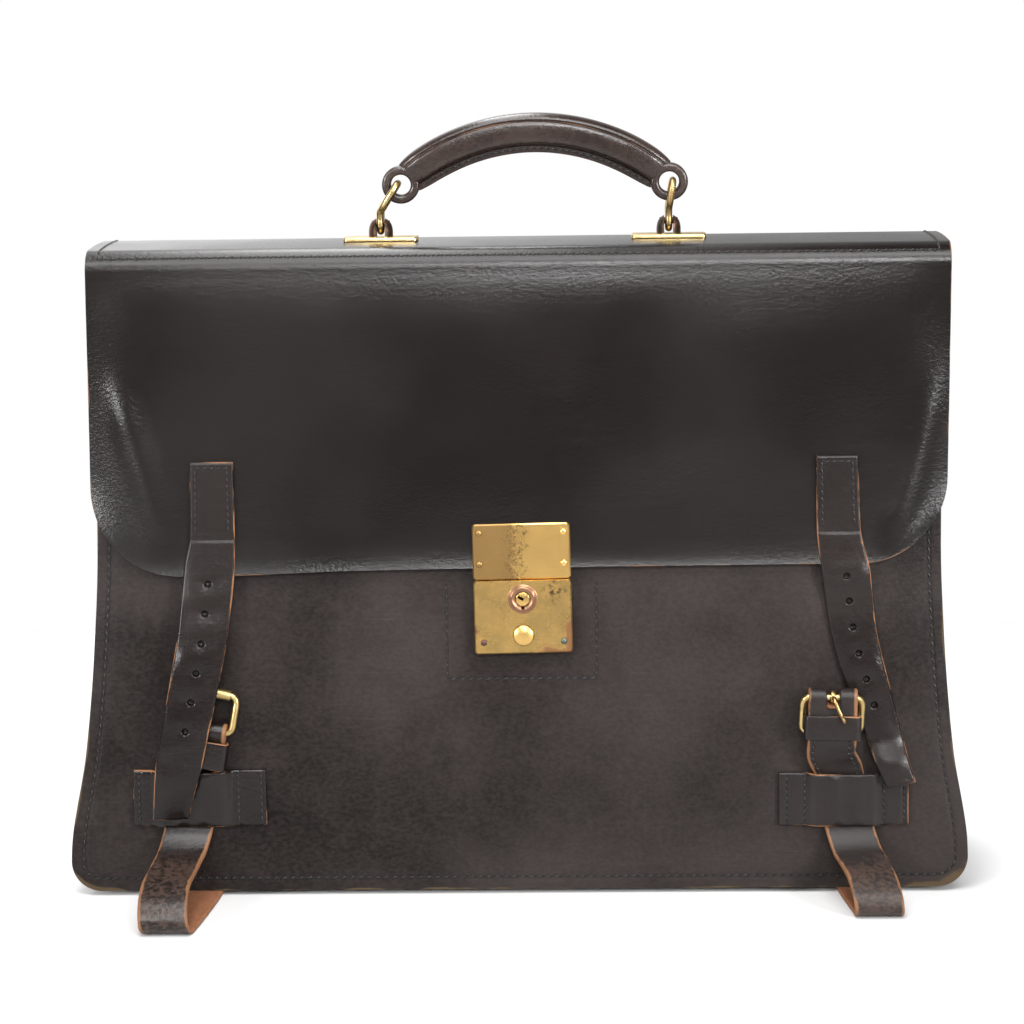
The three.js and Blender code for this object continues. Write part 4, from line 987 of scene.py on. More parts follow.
def handle_grip_shape():
    """Smooth section carried along an arc and tapered at both ends, with a round eye at each end."""
    half = np.array(GRIP_OUTLINE)
    section = curve_through(np.concatenate([half, half[::-1] * (1, -1)]), 4, True)
    place = np.linspace(-GRIP_END, GRIP_END, 121)[:, None]
    wide, tall = grip_taper(place)
    body = on_grip(place, section[None, :, 0] * tall, section[None, :, 1] * wide)
    # The edge mark is low along the groove at height 5.7, where the tan rub paints a highlight line, and at
    # the fin's lower edge, where it is rubbing.
    edge = np.minimum(np.abs(section[:, 0] - 5.7) * 1.2, np.abs(section[:, 0] + 9.3))
    parts = [(*rings_mesh(body), {"edge": np.tile(edge, len(place))})]
    arc = np.linspace(0, np.pi / 2, 5)
    height = EYE_T / 2 - EYE_ROUND + EYE_ROUND * np.sin(arc)
    outer = points(EYE_R - EYE_ROUND + EYE_ROUND * np.cos(arc), height)
    inner = points(EYE_HOLE_R + EYE_ROUND - EYE_ROUND * np.cos(arc), height)[::-1]
    upper = np.concatenate([outer, inner])
    eye = revolved(np.concatenate([upper, upper[::-1] * (1, -1)]), 48)[..., [0, 2, 1]]
    for side in (-1, 1):
        verts, faces = rings_mesh(eye + (GRIP_X + side * GRIP_HALF_SPAN, TOP_MID_Y, EYE_Z), True)
        parts.append((verts, faces, {"edge": np.full(len(verts), UNRUBBED)}))
    return joined(parts)


def bail_shape(side):
    """Wire loop round the knob's bar and through the eye, leaning to meet the eye."""
    bar_half = KNOB_BAR_R + GAP + BAIL_R
    rise = EYE_Z - SWING_Z + BAIL_TOP_RISE
    lean = (BAIL_TOP_X[side] - PLATE_XS[side]) / (rise - BAIL_LEAN_FROM)
    turn = np.linspace(-np.pi, 0, 8)
    straight = [(bar_half + spread, z) for spread, z in BAIL_ARM]
    arm = np.array(straight + [(BAIL_TOP_HALF - inset, rise - drop) for inset, drop in BAIL_SHOULDER])
    low = bar_half * points(np.cos(turn), np.sin(turn))
    y, z = curve_through(np.concatenate([low, arm, arm[::-1] * (-1, 1)]), 8, True).T
    line = points(PLATE_XS[side] + lean * np.maximum(0, z - BAIL_LEAN_FROM), TOP_MID_Y + y, SWING_Z + z)
    return rings_mesh(wire(line, BAIL_R, (1, 0, 0)), True)


def bevelled_slab(outline, rows):
    """Outlines stacked by rows of (inset share, height): a slab with eased edges."""
    centre = outline.mean(0)
    reach = np.abs(outline - centre).max(0)
    rings = [
        np.column_stack([centre + (outline - centre) * (1 - inset / reach), np.full(len(outline), height)])
        for inset, height in rows
    ]
    return np.array(rings)


def handle_plate_shape(side):
    """Thin plate, two lobes of a domed knob beside its slot, and the bar across the slot."""
    half_x, half_y = PLATE_HALF
    outline = rounded_rectangle(half_x, -half_y, half_y, 2)
    slab = bevelled_slab(outline, [(0, 0), (0, PLATE_T - 0.35), (0.12, PLATE_T - 0.12), (0.4, PLATE_T)])
    height = np.linspace(-PLATE_T / 2, KNOB_PROFILE[-1][0], 22)[:, None]
    radius = KNOB_R * table_at([(-PLATE_T, 1)] + KNOB_PROFILE, height)
    turn = np.linspace(-1, 1, 25) * np.arccos(np.clip(KNOB_SLOT / 2 / radius, -1, 1))
    lobe = points(radius * np.cos(turn), radius * np.sin(turn), height + PLATE_T)
    bar_half = KNOB_R * 0.75
    bar = revolved([(KNOB_BAR_R, -bar_half), (KNOB_BAR_R, bar_half)], 20)[..., [2, 0, 1]]
    bar = bar + (0, 0, PLATE_T + KNOB_BAR_RISE)
    at = (PLATE_XS[side], TOP_MID_Y, CREST_Z + GAP)
    return joined([rings_mesh(shape + at) for shape in (slab, lobe, lobe * (-1, 1, 1), bar)])


# Lock

def on_lock(rings, across, along, closed=False):
    """Skin over rings turned about a line out of the panel, at a place on the lock."""
    rings = points(rings[..., 0] + across, -rings[..., 2], rings[..., 1] + along)
    return rings_mesh(placed(rings, front_place(LOCK_X, LOCK_MID_Z, LOCK_ROLL)), closed)


def lock_cylinder_shape():
    """Ring with a narrow flange, a rounded rim, a step round the plug and a notch at the step's foot."""
    r, bore, back, front = (CYLINDER[k] for k in ("r", "bore", "back", "front"))
    foot = LOCK_FRONT + 0.05
    flange = [(0, 0), (0.9, 0), (0.9, 0.12), (0.7, 0.25), (0.2, 0.2), (0, 0.3)]
    rim = [(0, 0.6), (-0.2, 0.2), (-0.7, 0)]
    step = [(1.0, 0), (0.75, 0.25), (0.4, 0.3), (0.1, 0.35), (0, 0.5)]
    profile = [(bore, back), (r, back)]
    profile += [(r + out, foot + rise) for out, rise in flange]
    profile += [(r + out, front - drop) for out, drop in rim]
    profile += [(bore + out, front - drop) for out, drop in step]
    rings = revolved(profile, 96)
    turn = np.arctan2(rings[..., 1], rings[..., 0])
    radius = np.hypot(rings[..., 0], rings[..., 1])
    inside = (radius < bore + 0.9) * (rings[..., 2] > front - 1)
    # The notch is sunk half a millimetre and its mark is painted dark as its shade.
    notch = smooth((0.2 - np.abs(turn + np.pi / 2)) / 0.06) * inside
    rings[..., 2] -= 0.5 * notch
    return *on_lock(rings, 0, CYLINDER["along"], True), {"hole": notch.ravel()}


def key_plug_shape():
    """Plug with a low domed face, sunk where the keyway runs from its middle to one side."""
    r, back, front = (PLUG[k] for k in ("r", "back", "front"))
    face_r = np.linspace(r - 0.25, 0.03, 30)
    face = points(face_r, front - 0.35 * (face_r / r) ** 2)
    barrel = [(0.03, back), (r, back), (r, front - 0.75), (r - 0.08, front - 0.5)]
    rings = revolved(np.concatenate([barrel, face]), 96)
    ahead, aside = math.cos(KEYWAY["turn"]), math.sin(KEYWAY["turn"])
    along = rings[..., 0] * ahead + rings[..., 1] * aside
    off = np.abs(rings[..., 1] * ahead - rings[..., 0] * aside)
    low, high = KEYWAY["reach"]
    inside = smooth((along - low) / 0.16) * smooth((high - along) / 0.16)
    # The keyway is sunk and its mark is painted dark as its shade.
    sunk = inside * smooth((KEYWAY["half"] - off) / 0.16)
    sunk[:len(barrel)] = 0
    rings[..., 2] -= KEYWAY["depth"] * sunk
    return *on_lock(rings, 0, CYLINDER["along"]), {"hole": sunk.ravel()}


def lock_button_shape():
    """Push button with a rounded rim and a domed face, a parabola over its radius."""
    r, back, front = (BUTTON[k] for k in ("r", "back", "front"))
    turn = np.linspace(0, math.radians(67), 7)
    rim = points(r - 0.6 + 0.6 * np.cos(turn), front - 1.5 + 0.6 * np.sin(turn))
    face_r = np.linspace(rim[-1, 0], 0.05, 12)[1:]
    face = points(face_r, front - (front - rim[-1, 1]) * (face_r / rim[-1, 0]) ** 2)
    profile = np.concatenate([[(0.05, back), (r, back)], rim, face])
    return on_lock(revolved(profile, 64), 0, BUTTON["along"])


def rivet_shape(across, along, seat):
    """Low dome: a circle's arc turned about its axis."""
    turn = np.linspace(0, np.pi / 2, 8)
    dome = points(RIVET_R * np.cos(turn) ** 0.8 + 0.01, RIVET_RISE * np.sin(turn))
    profile = np.concatenate([[(RIVET_R, 0.0)], dome]) + (0, seat + RIVET_SEAT)
    return on_lock(revolved(profile, 24), across, along)


# Sewing

def stitch_template(length, radius):
    """One stitch: rings along it that sink at both ends, as (along, across, up) points and faces."""
    place, size, height = np.array(STITCH_RINGS).T[..., None]
    turn = round_turn(6)
    reach = radius * size
    rise = radius * height + reach * np.sin(turn)
    return rings_mesh(points(place * length / 2, reach * np.cos(turn), rise))


def awl_hole_template(radius):
    """One awl hole: a flat lens set a hair over the leather, painted near black as the hole's shade."""
    near, wide = 0.02, radius * 0.7
    profile = [(near, 0.07), (wide, 0.06), (radius, 0.02), (wide, -0.1), (near, -0.12)]
    return rings_mesh(revolved(profile, 8) * (1.25, 0.8, 1))


def repeated(template, centre, *directions):
    """A template set at many places, each with its own directions along, across and up."""
    verts, faces = template
    spots = centre[:, None] + sum(way[:, None] * verts[:, k:k + 1] for k, way in enumerate(directions))
    index = [[i + n * len(verts) for i in face] for n in range(len(centre)) for face in faces]
    return spots.reshape(-1, 3), index


def seam(line, normal, sewing):
    """Stitches at an even pitch along a line on a surface, slanted a little, with awl holes between them:
    lenses painted near black as the holes' shade.
    """
    run = run_of(line)
    count = max(2, int(round(run[-1] / sewing["pitch"])))
    step = run[-1] / count
    shapes = []
    for places, template, turn, hole in (
        ((np.arange(count) + 0.5) * step, stitch_template(step * STITCH_SHARE, sewing["radius"]), SLANT, 0.0),
        (np.arange(count + 1) * step, awl_hole_template(sewing["hole"]), SLANT + AWL_TURN, 1.0),
    ):
        up = unit(along_line(normal, run, places))
        along = along_line(line, run, places + 0.4) - along_line(line, run, places - 0.4)
        along = unit(along - up * np.einsum("ij,ij->i", along, up)[:, None])
        turned = along * math.cos(turn) + np.cross(up, along) * math.sin(turn)
        verts, faces = repeated(template, along_line(line, run, places), turned, np.cross(up, turned), up)
        shapes.append((verts, faces, {"hole": np.full(len(verts), hole)}))
    return joined(shapes)


def front_seam(path, out, sewing):
    """A seam along (x, z) points laid on the front and moved out."""
    x, z = even_line(np.asarray(path, float), 1.0).T
    lift = out(x, z) if callable(out) else out
    return seam(on_front(x, z, lift), front_normal(x, z), sewing)


def panel_seam_path(top):
    """Line inside a panel's edge: down one side, round the corners and up the other side."""
    z = np.linspace(top, BOTTOM_Z + PANEL_CORNER_R, 60)
    turn = np.linspace(0, np.pi / 2, 10)[1:]
    inner = PANEL_CORNER_R - SEAM_INSET
    corner = panel_half(BOTTOM_Z) - PANEL_CORNER_R
    x = np.concatenate([panel_half(z) - SEAM_INSET, corner + inner * np.cos(turn)])
    z = np.concatenate([z, BOTTOM_Z + PANEL_CORNER_R - inner * np.sin(turn)])
    x = np.concatenate([x, -x[::-1]])
    z = np.concatenate([z, z[::-1]])
    return np.column_stack([x + SWAY * z, z])


def back_seam(sewing):
    """The seam inside the back panel's edge."""
    x, z = even_line(panel_seam_path(BACK_SEAM_TOP), 1.0).T
    at = points(x, back_y(z), z)
    return seam(at, np.broadcast_to(unit(np.array([0.0, 1.0, math.tan(BACK_LEAN)])), at.shape), sewing)


def flap_seams(sewing):
    """Seams along the front roll and over the top near both sides."""
    top, roll, back_roll, front_roll = top_profile()
    reach = TOP_ROLL_R + FLAP_T / 2
    x = np.linspace(-FLAP_SEAM_HALF, FLAP_SEAM_HALF, 200)
    aside, rise = math.cos(SEAM_TURN), math.sin(SEAM_TURN)
    z = roll + reach * rise
    line = points(x + SWAY * z, front_roll - reach * aside, z)
    shapes = [seam(line, np.broadcast_to([0, -aside, rise], line.shape), sewing)]
    turn = np.linspace(SEAM_TURN, np.pi / 2, 12)
    flat_y = np.linspace(front_roll, back_roll, 40)[1:]
    crown = (flat_y - (front_roll + back_roll) / 2) / ((back_roll - front_roll) / 2)
    y = np.concatenate([front_roll - reach * np.cos(turn), flat_y])
    z = np.concatenate([roll + reach * np.sin(turn), top + FLAP_T / 2 + TOP_CROWN * (1 - crown**2)])
    up = np.concatenate([points(0, -np.cos(turn), np.sin(turn)), np.tile([0.0, 0.0, 1.0], (len(crown), 1))])
    return shapes + [seam(points(x + SWAY * z, y, z), up, sewing) for x in (-SIDE_SEAM_X, SIDE_SEAM_X)]


def case_seams(sewing):
    """Seams on the body of the case, as lists of shapes by piece name."""
    (a, b), low, high = LOCK_SEAM["x"], LOCK_SEAM["low"], LOCK_SEAM["high"]
    around = [(a, high), (a, low), (b, low), (b, high)]
    return {
        "front_panel_seam": [front_seam(panel_seam_path(FRONT_SEAM_TOP), -SEAM_GROOVE / 2, sewing)],
        "back_panel_seam": [back_seam(sewing)],
        "flap_seam": flap_seams(sewing),
        "lock_seam": [front_seam(around, lambda x, z: 0.02 + panel_lift(x, z), sewing)],
    }


def tab_seam(strap, sewing):
    """Seam up one side of a flap strap's sewn tab, across its top and down the other."""
    rows = strap["sections"]
    z = np.linspace(strap["tab_foot"] + TAB_SEAM["foot"], rows[0][0] - TAB_SEAM["top"], 30)
    left = np.column_stack([column(rows, 1, z) + TAB_SEAM["side"], z])
    right = np.column_stack([column(rows, 2, z) - TAB_SEAM["side"], z])
    around = np.concatenate([left, right[::-1]])
    return front_seam(around, TAB_OUT + STRAP_T + TAB_SEAM["rise"], sewing)


def keeper_seam(keeper, x, sewing):
    """A row of stitches up a keeper patch."""
    z = np.linspace(keeper["z"][0] + KEEPER_SEAM_INSET, keeper["z"][1] - KEEPER_SEAM_INSET, 30)
    x = np.full_like(z, x)
    out = keeper_out(keeper, x, z) + KEEPER_T - KEEPER_SEAM_SINK
    return seam(on_front(x, z, out), front_normal(x, z), sewing)


def buckle_strap_seams(buckle, sewing):
    """Stitches along both edges of a buckle strap, below its fold and at its end on the back."""
    line, (_, last) = buckle_strap_line(buckle)
    across, out = strap_frames(line)
    inset, rise = STRAP_WIDTH / 2 - STRAP_SEAM_INSET, STRAP_T / 2 + STRAP_SEAM_RISE
    shapes = []
    for part in (slice(last + 8, last + 62), slice(len(line) - 24, len(line) - 3)):
        for edge in (-inset, inset):
            at = line[part, :3] + across[part] * edge + out[part] * rise
            shapes.append(seam(at, out[part], sewing))
    return shapes


def strap_seams(sewing):
    """Seams of the straps and keepers, as lists of shapes by piece name."""
    groups = {}
    for side, keeper in KEEPERS.items():
        groups[f"{side}_flap_strap_seam"] = [tab_seam(FLAP_STRAPS[side], sewing)]
        groups[f"{side}_keeper_seam"] = [keeper_seam(keeper, x, sewing) for x in keeper["rows"]]
        groups[f"{side}_buckle_strap_seam"] = buckle_strap_seams(BUCKLES[side], sewing)
    return groups


def handle_seam_shape(sewing):
    """Seams along both faces of the grip's lower fin."""
    place = np.linspace(-FIN_SEAM["end"], FIN_SEAM["end"], 160)
    wide, tall = grip_taper(place)
    parts = []
    for face in (-1, 1):
        line = on_grip(place, FIN_SEAM["height"] * tall, face * FIN_SEAM["half"] * wide)
        parts.append(seam(line, np.broadcast_to([0.0, face, 0.0], line.shape), sewing))
    return joined(parts)


# Meshes and objects

def mesh_piece(name, shape, material, body, slot, *replaces):
    """A shape as a new object at the origin, its marks as attributes, and what it rides on and stands for."""
    verts, faces, *marks = shape
    mesh = bpy.data.meshes.new(name)
    mesh.from_pydata((verts * MM).tolist(), [], faces)
    for mark, values in (marks[0] if marks else {}).items():
        attribute = mesh.attributes.new(mark, "FLOAT", "POINT")
        attribute.data.foreach_set("value", np.asarray(values, np.float32))
    mesh.shade_smooth()
    mesh.set_sharp_from_angle(angle=SHARP_ANGLE)
    mesh.materials.append(material)
    if mesh.validate():
        raise RuntimeError(f"{name} had faces that don't hold together")
    piece = bpy.data.objects.new(name, mesh)
    bpy.context.scene.collection.objects.link(piece)
    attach(piece, body)
    if replaces:
        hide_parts(*replaces)
    return piece


def ease_edges(piece, width, segments=3):
    """Rounds a piece's sharp rims."""
    bevel = piece.modifiers.new("eased_edges", "BEVEL")
    bevel.width = width * MM
    bevel.segments = segments
    bevel.limit_method = "ANGLE"
    bevel.angle_limit = EASED_ANGLE


# Finishes

class Nodes:
    """Short ways to add nodes to one tree."""

    def __init__(self, tree):
        self.tree = tree

    def add(self, kind, **values):
        made = self.tree.nodes.new(kind)
        for key, value in values.items():
            setattr(made, key, value)
        return made

    def feed(self, source, target):
        """Links a socket to another, or sets it to a plain value."""
        if isinstance(source, bpy.types.NodeSocket):
            self.tree.links.new(source, target)
        else:
            target.default_value = source

    def filled(self, kind, output, inputs, **values):
        """A new node's output, with its inputs fed by name."""
        made = self.add(kind, **values)
        for key, value in inputs.items():
            self.feed(value, made.inputs[key])
        return made.outputs[output]

    def place(self):
        return self.add("ShaderNodeTexCoord").outputs["Object"]

    def axes(self, vector):
        split = self.add("ShaderNodeSeparateXYZ")
        self.feed(vector, split.inputs[0])
        return split.outputs

    def sum(self, operation, *values, clamp=False):
        return self.filled("ShaderNodeMath", 0, dict(enumerate(values)), operation=operation, use_clamp=clamp)

    def times(self, a, b):
        return self.sum("MULTIPLY", a, b)

    def plus(self, a, b):
        return self.sum("ADD", a, b)

    def most(self, a, b):
        return self.sum("MAXIMUM", a, b)

    def from_line(self, value, middle):
        """Distance of a value from a middle one, on either side."""
        return self.sum("ABSOLUTE", self.sum("SUBTRACT", value, middle))

    def ramp(self, value, low, high, to_low=0.0, to_high=1.0):
        inputs = {"Value": value, "From Min": low, "From Max": high, "To Min": to_low, "To Max": to_high}
        return self.filled("ShaderNodeMapRange", "Result", inputs, interpolation_type="SMOOTHSTEP")

    def mix(self, mask, a, b):
        """Colour mix; a and b are colours or sockets."""
        made = self.add("ShaderNodeMix", data_type="RGBA")
        self.feed(mask, made.inputs["Factor"])
        ends = [socket for socket in made.inputs if socket.type == "RGBA"]
        for value, socket in zip((a, b), ends):
            self.feed((*value, 1) if isinstance(value, tuple) else value, socket)
        return next(socket for socket in made.outputs if socket.type == "RGBA")

    def noise(self, vector, scale, detail=4.0, roughness=0.55, distortion=0.0):
        inputs = {"Vector": vector, "Scale": scale, "Detail": detail, "Roughness": roughness}
        inputs["Distortion"] = distortion
        return self.filled("ShaderNodeTexNoise", "Fac", inputs)

    def stretch(self, vector, scale, turn=(0, 0, 0)):
        inputs = {"Vector": vector, "Scale": scale, "Rotation": turn}
        return self.filled("ShaderNodeMapping", "Vector", inputs)

    def streaks(self, scale, lean, detail=4.0, roughness=0.55, distortion=0.0):
        """Noise drawn out by a scale for each axis, leaning about Y."""
        return self.noise(self.stretch(self.place(), scale, (0, lean, 0)), 1.0, detail, roughness, distortion)

    def mark(self, name):
        return self.add("ShaderNodeAttribute", attribute_type="GEOMETRY", attribute_name=name).outputs["Fac"]

    def group(self, name, **values):
        made = self.add("ShaderNodeGroup")
        made.node_tree = bpy.data.node_groups[name]
        for label, value in values.items():
            self.feed(value, made.inputs[label])
        return made.outputs

    def bump(self, shader, height, strength, distance):
        inputs = {"Height": height, "Strength": strength, "Distance": distance * MM}
        self.feed(self.filled("ShaderNodeBump", "Normal", inputs), shader.inputs["Normal"])


def new_group(name, inputs, outputs):
    """An empty node group with float inputs and outputs."""
    tree = bpy.data.node_groups.new(name, "ShaderNodeTree")
    for label in inputs:
        tree.interface.new_socket(label, in_out="INPUT", socket_type="NodeSocketFloat")
    for label in outputs:
        tree.interface.new_socket(label, in_out="OUTPUT", socket_type="NodeSocketFloat")
    n = Nodes(tree)
    return n, n.add("NodeGroupInput").outputs, n.add("NodeGroupOutput").inputs


def hide_group():
    """Leather: pores and creases as a height, slow mottling, fine grain, scuffs, and worn patches."""
    n, _, result = new_group("hide", [], ["Height", "Mottle", "Grain", "Scuff", "Worn"])
    place = n.place()
    pores = n.filled("ShaderNodeTexVoronoi", "Distance", {"Vector": place, "Scale": PORE_SCALE}, feature="F1")
    creases = n.noise(n.stretch(place, (1, 1, 2.2)), 260, 5, 0.6, 0.6)
    height = n.sum("MULTIPLY_ADD", pores, 0.5, n.noise(place, 1100, 3))
    n.feed(n.sum("MULTIPLY_ADD", creases, 0.7, height), result["Height"])
    n.feed(n.ramp(n.noise(place, MOTTLE_SCALE, 5, 0.62), 0.2, 0.8), result["Mottle"])
    n.feed(n.ramp(n.streaks((420, 420, 620), 0.35, 4, 0.6), 0.3, 0.7), result["Grain"])
    level = n.ramp(n.streaks((30, 30, 950), 0.1, 5, 0.65, 0.3), 0.52, 0.7)
    upright = n.ramp(n.streaks((700, 60, 45), 0.55, 5, 0.65, 0.2), 0.56, 0.74)
    patch = n.ramp(n.noise(place, 13, 4), 0.4, 0.68)
    n.feed(n.times(n.most(level, upright), patch), result["Scuff"])
    n.feed(n.ramp(n.noise(place, 6.5, 3, 0.5), 0.36, 0.62), result["Worn"])


def rub_group():
    """Wear along an edge: 1 at the edge, fading over the reach, broken up by noise. Along the handle's groove
    the same mask paints a highlight line.
    """
    n, given, result = new_group("rub_and_highlight", ["Edge", "Reach", "Break"], ["Mask"])
    place = n.place()
    near = n.sum("SUBTRACT", 1.0, n.sum("DIVIDE", given["Edge"], given["Reach"]), clamp=True)
    uneven = n.times(n.noise(place, 260, 5, 0.65), n.ramp(n.noise(place, 38, 3), 0.3, 0.7))
    left = n.sum("SUBTRACT", near, n.times(uneven, given["Break"]))
    n.feed(n.ramp(left, 0.0, 0.45), result["Mask"])


def tarnish_group():
    """Old brass: cloudy brown bloom, small dark specks and fine rubbing lines."""
    n, _, result = new_group("tarnish", [], ["Bloom", "Speck", "Height"])
    place = n.place()
    n.feed(n.ramp(n.noise(place, 70, 6, 0.6), 0.4, 0.68), result["Bloom"])
    n.feed(n.ramp(n.noise(place, 520, 5, 0.75), 0.56, 0.68), result["Speck"])
    n.feed(n.streaks((60, 60, 1600), 0.3), result["Height"])


def surface(name):
    """A new material with its nodes and its Principled BSDF."""
    material = bpy.data.materials.new(name)
    material.use_nodes = True
    return material, Nodes(material.node_tree), material.node_tree.nodes["Principled BSDF"]


def shade(colour, share):
    return tuple(c * share for c in colour)


def leather(
    name, tones, tan, reach, broken, gloss, scuffed,
    worn=0.3, flesh=None, holes=False, slack=None, shine=0.3,
):
    """Aged leather: dark and warm brown, mottled, with scuffs, worn patches and tan rubbed edges; optionally
    a painted sheen on the slack loops and painted shade in punched holes.
    """
    material, n, shader = surface(name)
    dark, warm = (tuple(tone) for tone in tones)
    pale = tuple(c * 2.2 + 0.01 for c in warm)
    hide = n.group("hide")
    tone = n.sum("MULTIPLY_ADD", hide["Grain"], 0.5, n.times(hide["Mottle"], 0.5))
    dull = n.times(hide["Worn"], worn)
    colour = n.mix(dull, n.mix(tone, dark, warm), pale)
    # Painted sheen: the strap is painted paler, in blotches from the hide's tone, where it reaches forward in
    # its slack loop and faces up.
    if slack:
        slack_sheen = n.times(n.mark("slack"), n.ramp(tone, 0.28, 0.72, 0.12, 1.0))
        colour = n.mix(slack_sheen, colour, slack)
    colour = n.mix(n.times(hide["Scuff"], scuffed), colour, shade(pale, 1.5))
    rubbed = n.group("rub_and_highlight", Edge=n.mark("edge"), Reach=reach, Break=broken)["Mask"]
    colour = n.mix(rubbed, colour, tan)
    rough = n.sum("MULTIPLY_ADD", dull, 0.2, n.ramp(hide["Worn"], 0.0, 1.0, *gloss))
    rough = n.most(rough, n.ramp(rubbed, 0, 1, 0.0, 0.62))
    if flesh:
        inner = n.ramp(n.mark("flesh"), 0.6, 0.95)
        colour = n.mix(inner, colour, n.mix(hide["Grain"], flesh, shade(flesh, 0.72)))
        rough = n.most(rough, n.ramp(inner, 0, 1, 0.0, 0.8))
    # Painted shade: the punched holes, only shallow dishes, are painted near black.
    if holes:
        colour = n.mix(n.ramp(n.mark("hole"), 0.35, 0.8), colour, PUNCHED_SHADE)
    n.feed(colour, shader.inputs["Base Color"])
    n.feed(rough, shader.inputs["Roughness"])
    shader.inputs["Specular IOR Level"].default_value = shine
    n.bump(shader, hide["Height"], 0.4, 0.2)
    return material


def thread_material(colour):
    """Waxed thread: twisted strands along it, and awl holes painted black as their shade."""
    material, n, shader = surface("waxed_thread")
    strands = n.noise(n.stretch(n.place(), (1, 1, 1), (0.6, 0.6, 0.6)), 1500, 3)
    lit = n.mix(strands, shade(colour, 0.5), shade(colour, 1.5))
    # Painted shade: the awl-hole lenses are near black.
    n.feed(n.mix(n.mark("hole"), lit, AWL_SHADE), shader.inputs["Base Color"])
    n.feed(n.ramp(n.mark("hole"), 0, 1, 0.5, 0.95), shader.inputs["Roughness"])
    n.bump(shader, strands, 0.4, 0.2)
    return material


def brass(name, clean, brown, bloom, speck, gloss, stains_and_shade=None):
    """Aged brass: clean metal under brown bloom and dark specks, with a piece's own stains over them; for the
    plug and cylinder, painted shade in the keyway and notch instead.
    """
    material, n, shader = surface(name)
    old = n.group("tarnish")
    cloud = n.times(old["Bloom"], bloom)
    colour = n.mix(cloud, clean, brown)
    colour = n.mix(n.times(old["Speck"], speck), colour, shade(brown, 0.35))
    rough = n.ramp(cloud, 0, 1, *gloss)
    if stains_and_shade:
        colour, rough = stains_and_shade(n, colour, rough)
    n.feed(colour, shader.inputs["Base Color"])
    n.feed(rough, shader.inputs["Roughness"])
    shader.inputs["Metallic"].default_value = 1.0
    n.bump(shader, old["Height"], 0.12, 0.1)
    return material


def keyway_shade(n, colour, rough):
    """Painted shade: dark where the keyway and the notch are cut."""
    return n.mix(n.ramp(n.mark("hole"), 0.2, 0.7), colour, KEYWAY_SHADE), rough


def in_mm(n, value, start):
    """An object coordinate in millimetres from a starting place."""
    return n.sum("MULTIPLY_ADD", value, 1 / MM, -start)


def knob_stains(n, colour, rough):
    """Dark bronze on the knob above its brighter plate, with reddish patches."""
    place = n.place()
    knob = n.ramp(in_mm(n, n.axes(place)["Z"], CREST_Z + GAP + PLATE_T), -0.2, 0.6)
    patch = n.ramp(n.noise(place, 170, 3), 0.48, 0.64)
    colour = n.mix(knob, colour, n.mix(patch, (0.045, 0.034, 0.024), (0.14, 0.066, 0.04)))
    return colour, n.most(rough, n.ramp(knob, 0, 1, 0.28, 0.46))


def lock_axes(n):
    """Object coordinates, and millimetres across and up the lock from its middle."""
    place = n.place()
    axes = n.axes(place)
    return place, in_mm(n, axes["X"], LOCK_X), in_mm(n, axes["Z"], LOCK_MID_Z)


def hasp_stains(n, colour, rough):
    """Dark handled bloom on the left two fifths of the hasp, broken into specks at its right border."""
    place, across, _ = lock_axes(n)
    drift = n.sum("MULTIPLY_ADD", n.noise(place, 160, 5, 0.7), 14.0, across)
    handled = n.ramp(drift, 1.0, 9.0, 0.85, 0.0)
    colour = n.mix(handled, colour, (0.17, 0.1, 0.04))
    border = n.times(n.ramp(drift, -4.0, 4.0), n.ramp(drift, 6.0, 13.0, 1.0, 0.0))
    specks = n.times(border, n.ramp(n.noise(place, 900, 4, 0.7), 0.5, 0.62))
    colour = n.mix(n.times(specks, 0.8), colour, (0.09, 0.05, 0.025))
    return colour, n.most(rough, n.ramp(handled, 0, 1, 0.24, 0.4))


def lock_stains(n, colour, rough):
    """Red corrosion in the lower corners, greenish bloom, and a cloud of specks at the upper right."""
    place, across, up = lock_axes(n)
    wander = n.sum("MULTIPLY_ADD", n.noise(place, 210, 5, 0.65), 9.0, -4.5)
    right = n.sum("SUBTRACT", 24.0, across)
    low = n.plus(up, 32.0)
    nearest = n.plus(n.sum("MINIMUM", right, low), wander)
    both = n.plus(n.plus(right, low), wander)
    red = n.times(n.ramp(both, 15.0, 24.0, 1.0, 0.0), n.ramp(nearest, 2.5, 6.0, 1.0, 0.0))
    spot = n.plus(n.plus(n.plus(across, 24.0), n.from_line(up, -20.0)), wander)
    red = n.most(red, n.ramp(spot, 2.0, 5.0, 1.0, 0.0))
    green = n.times(n.ramp(n.noise(place, 55, 4), 0.42, 0.62), 0.45)
    colour = n.mix(green, colour, (0.33, 0.24, 0.09))
    away = n.plus(n.from_line(across, 15.0), n.from_line(up, -1.0))
    cloud = n.times(n.ramp(away, 2.0, 9.0, 1.0, 0.0), n.ramp(n.noise(place, 700, 4, 0.7), 0.48, 0.6))
    colour = n.mix(n.times(cloud, 0.85), colour, (0.07, 0.04, 0.03))
    colour = n.mix(n.times(red, 0.85), colour, (0.15, 0.065, 0.035))
    return colour, n.most(rough, n.ramp(red, 0, 1, 0.22, 0.5))


# Settings

def tint(name, description, default):
    """A colour property."""
    return FloatVectorProperty(
        name=name, description=description, subtype="COLOR", size=3, min=0, max=1, default=default
    )


def measure(name, description, default):
    """A length property, from a default in millimetres."""
    return FloatProperty(
        name=name, description=description, default=default * MM, unit="LENGTH", min=0.05 * MM
    )


def watts(name, description, default):
    """A lamp's power property, in watts."""
    return FloatProperty(name=name, description=description, default=default, unit="POWER", min=0)


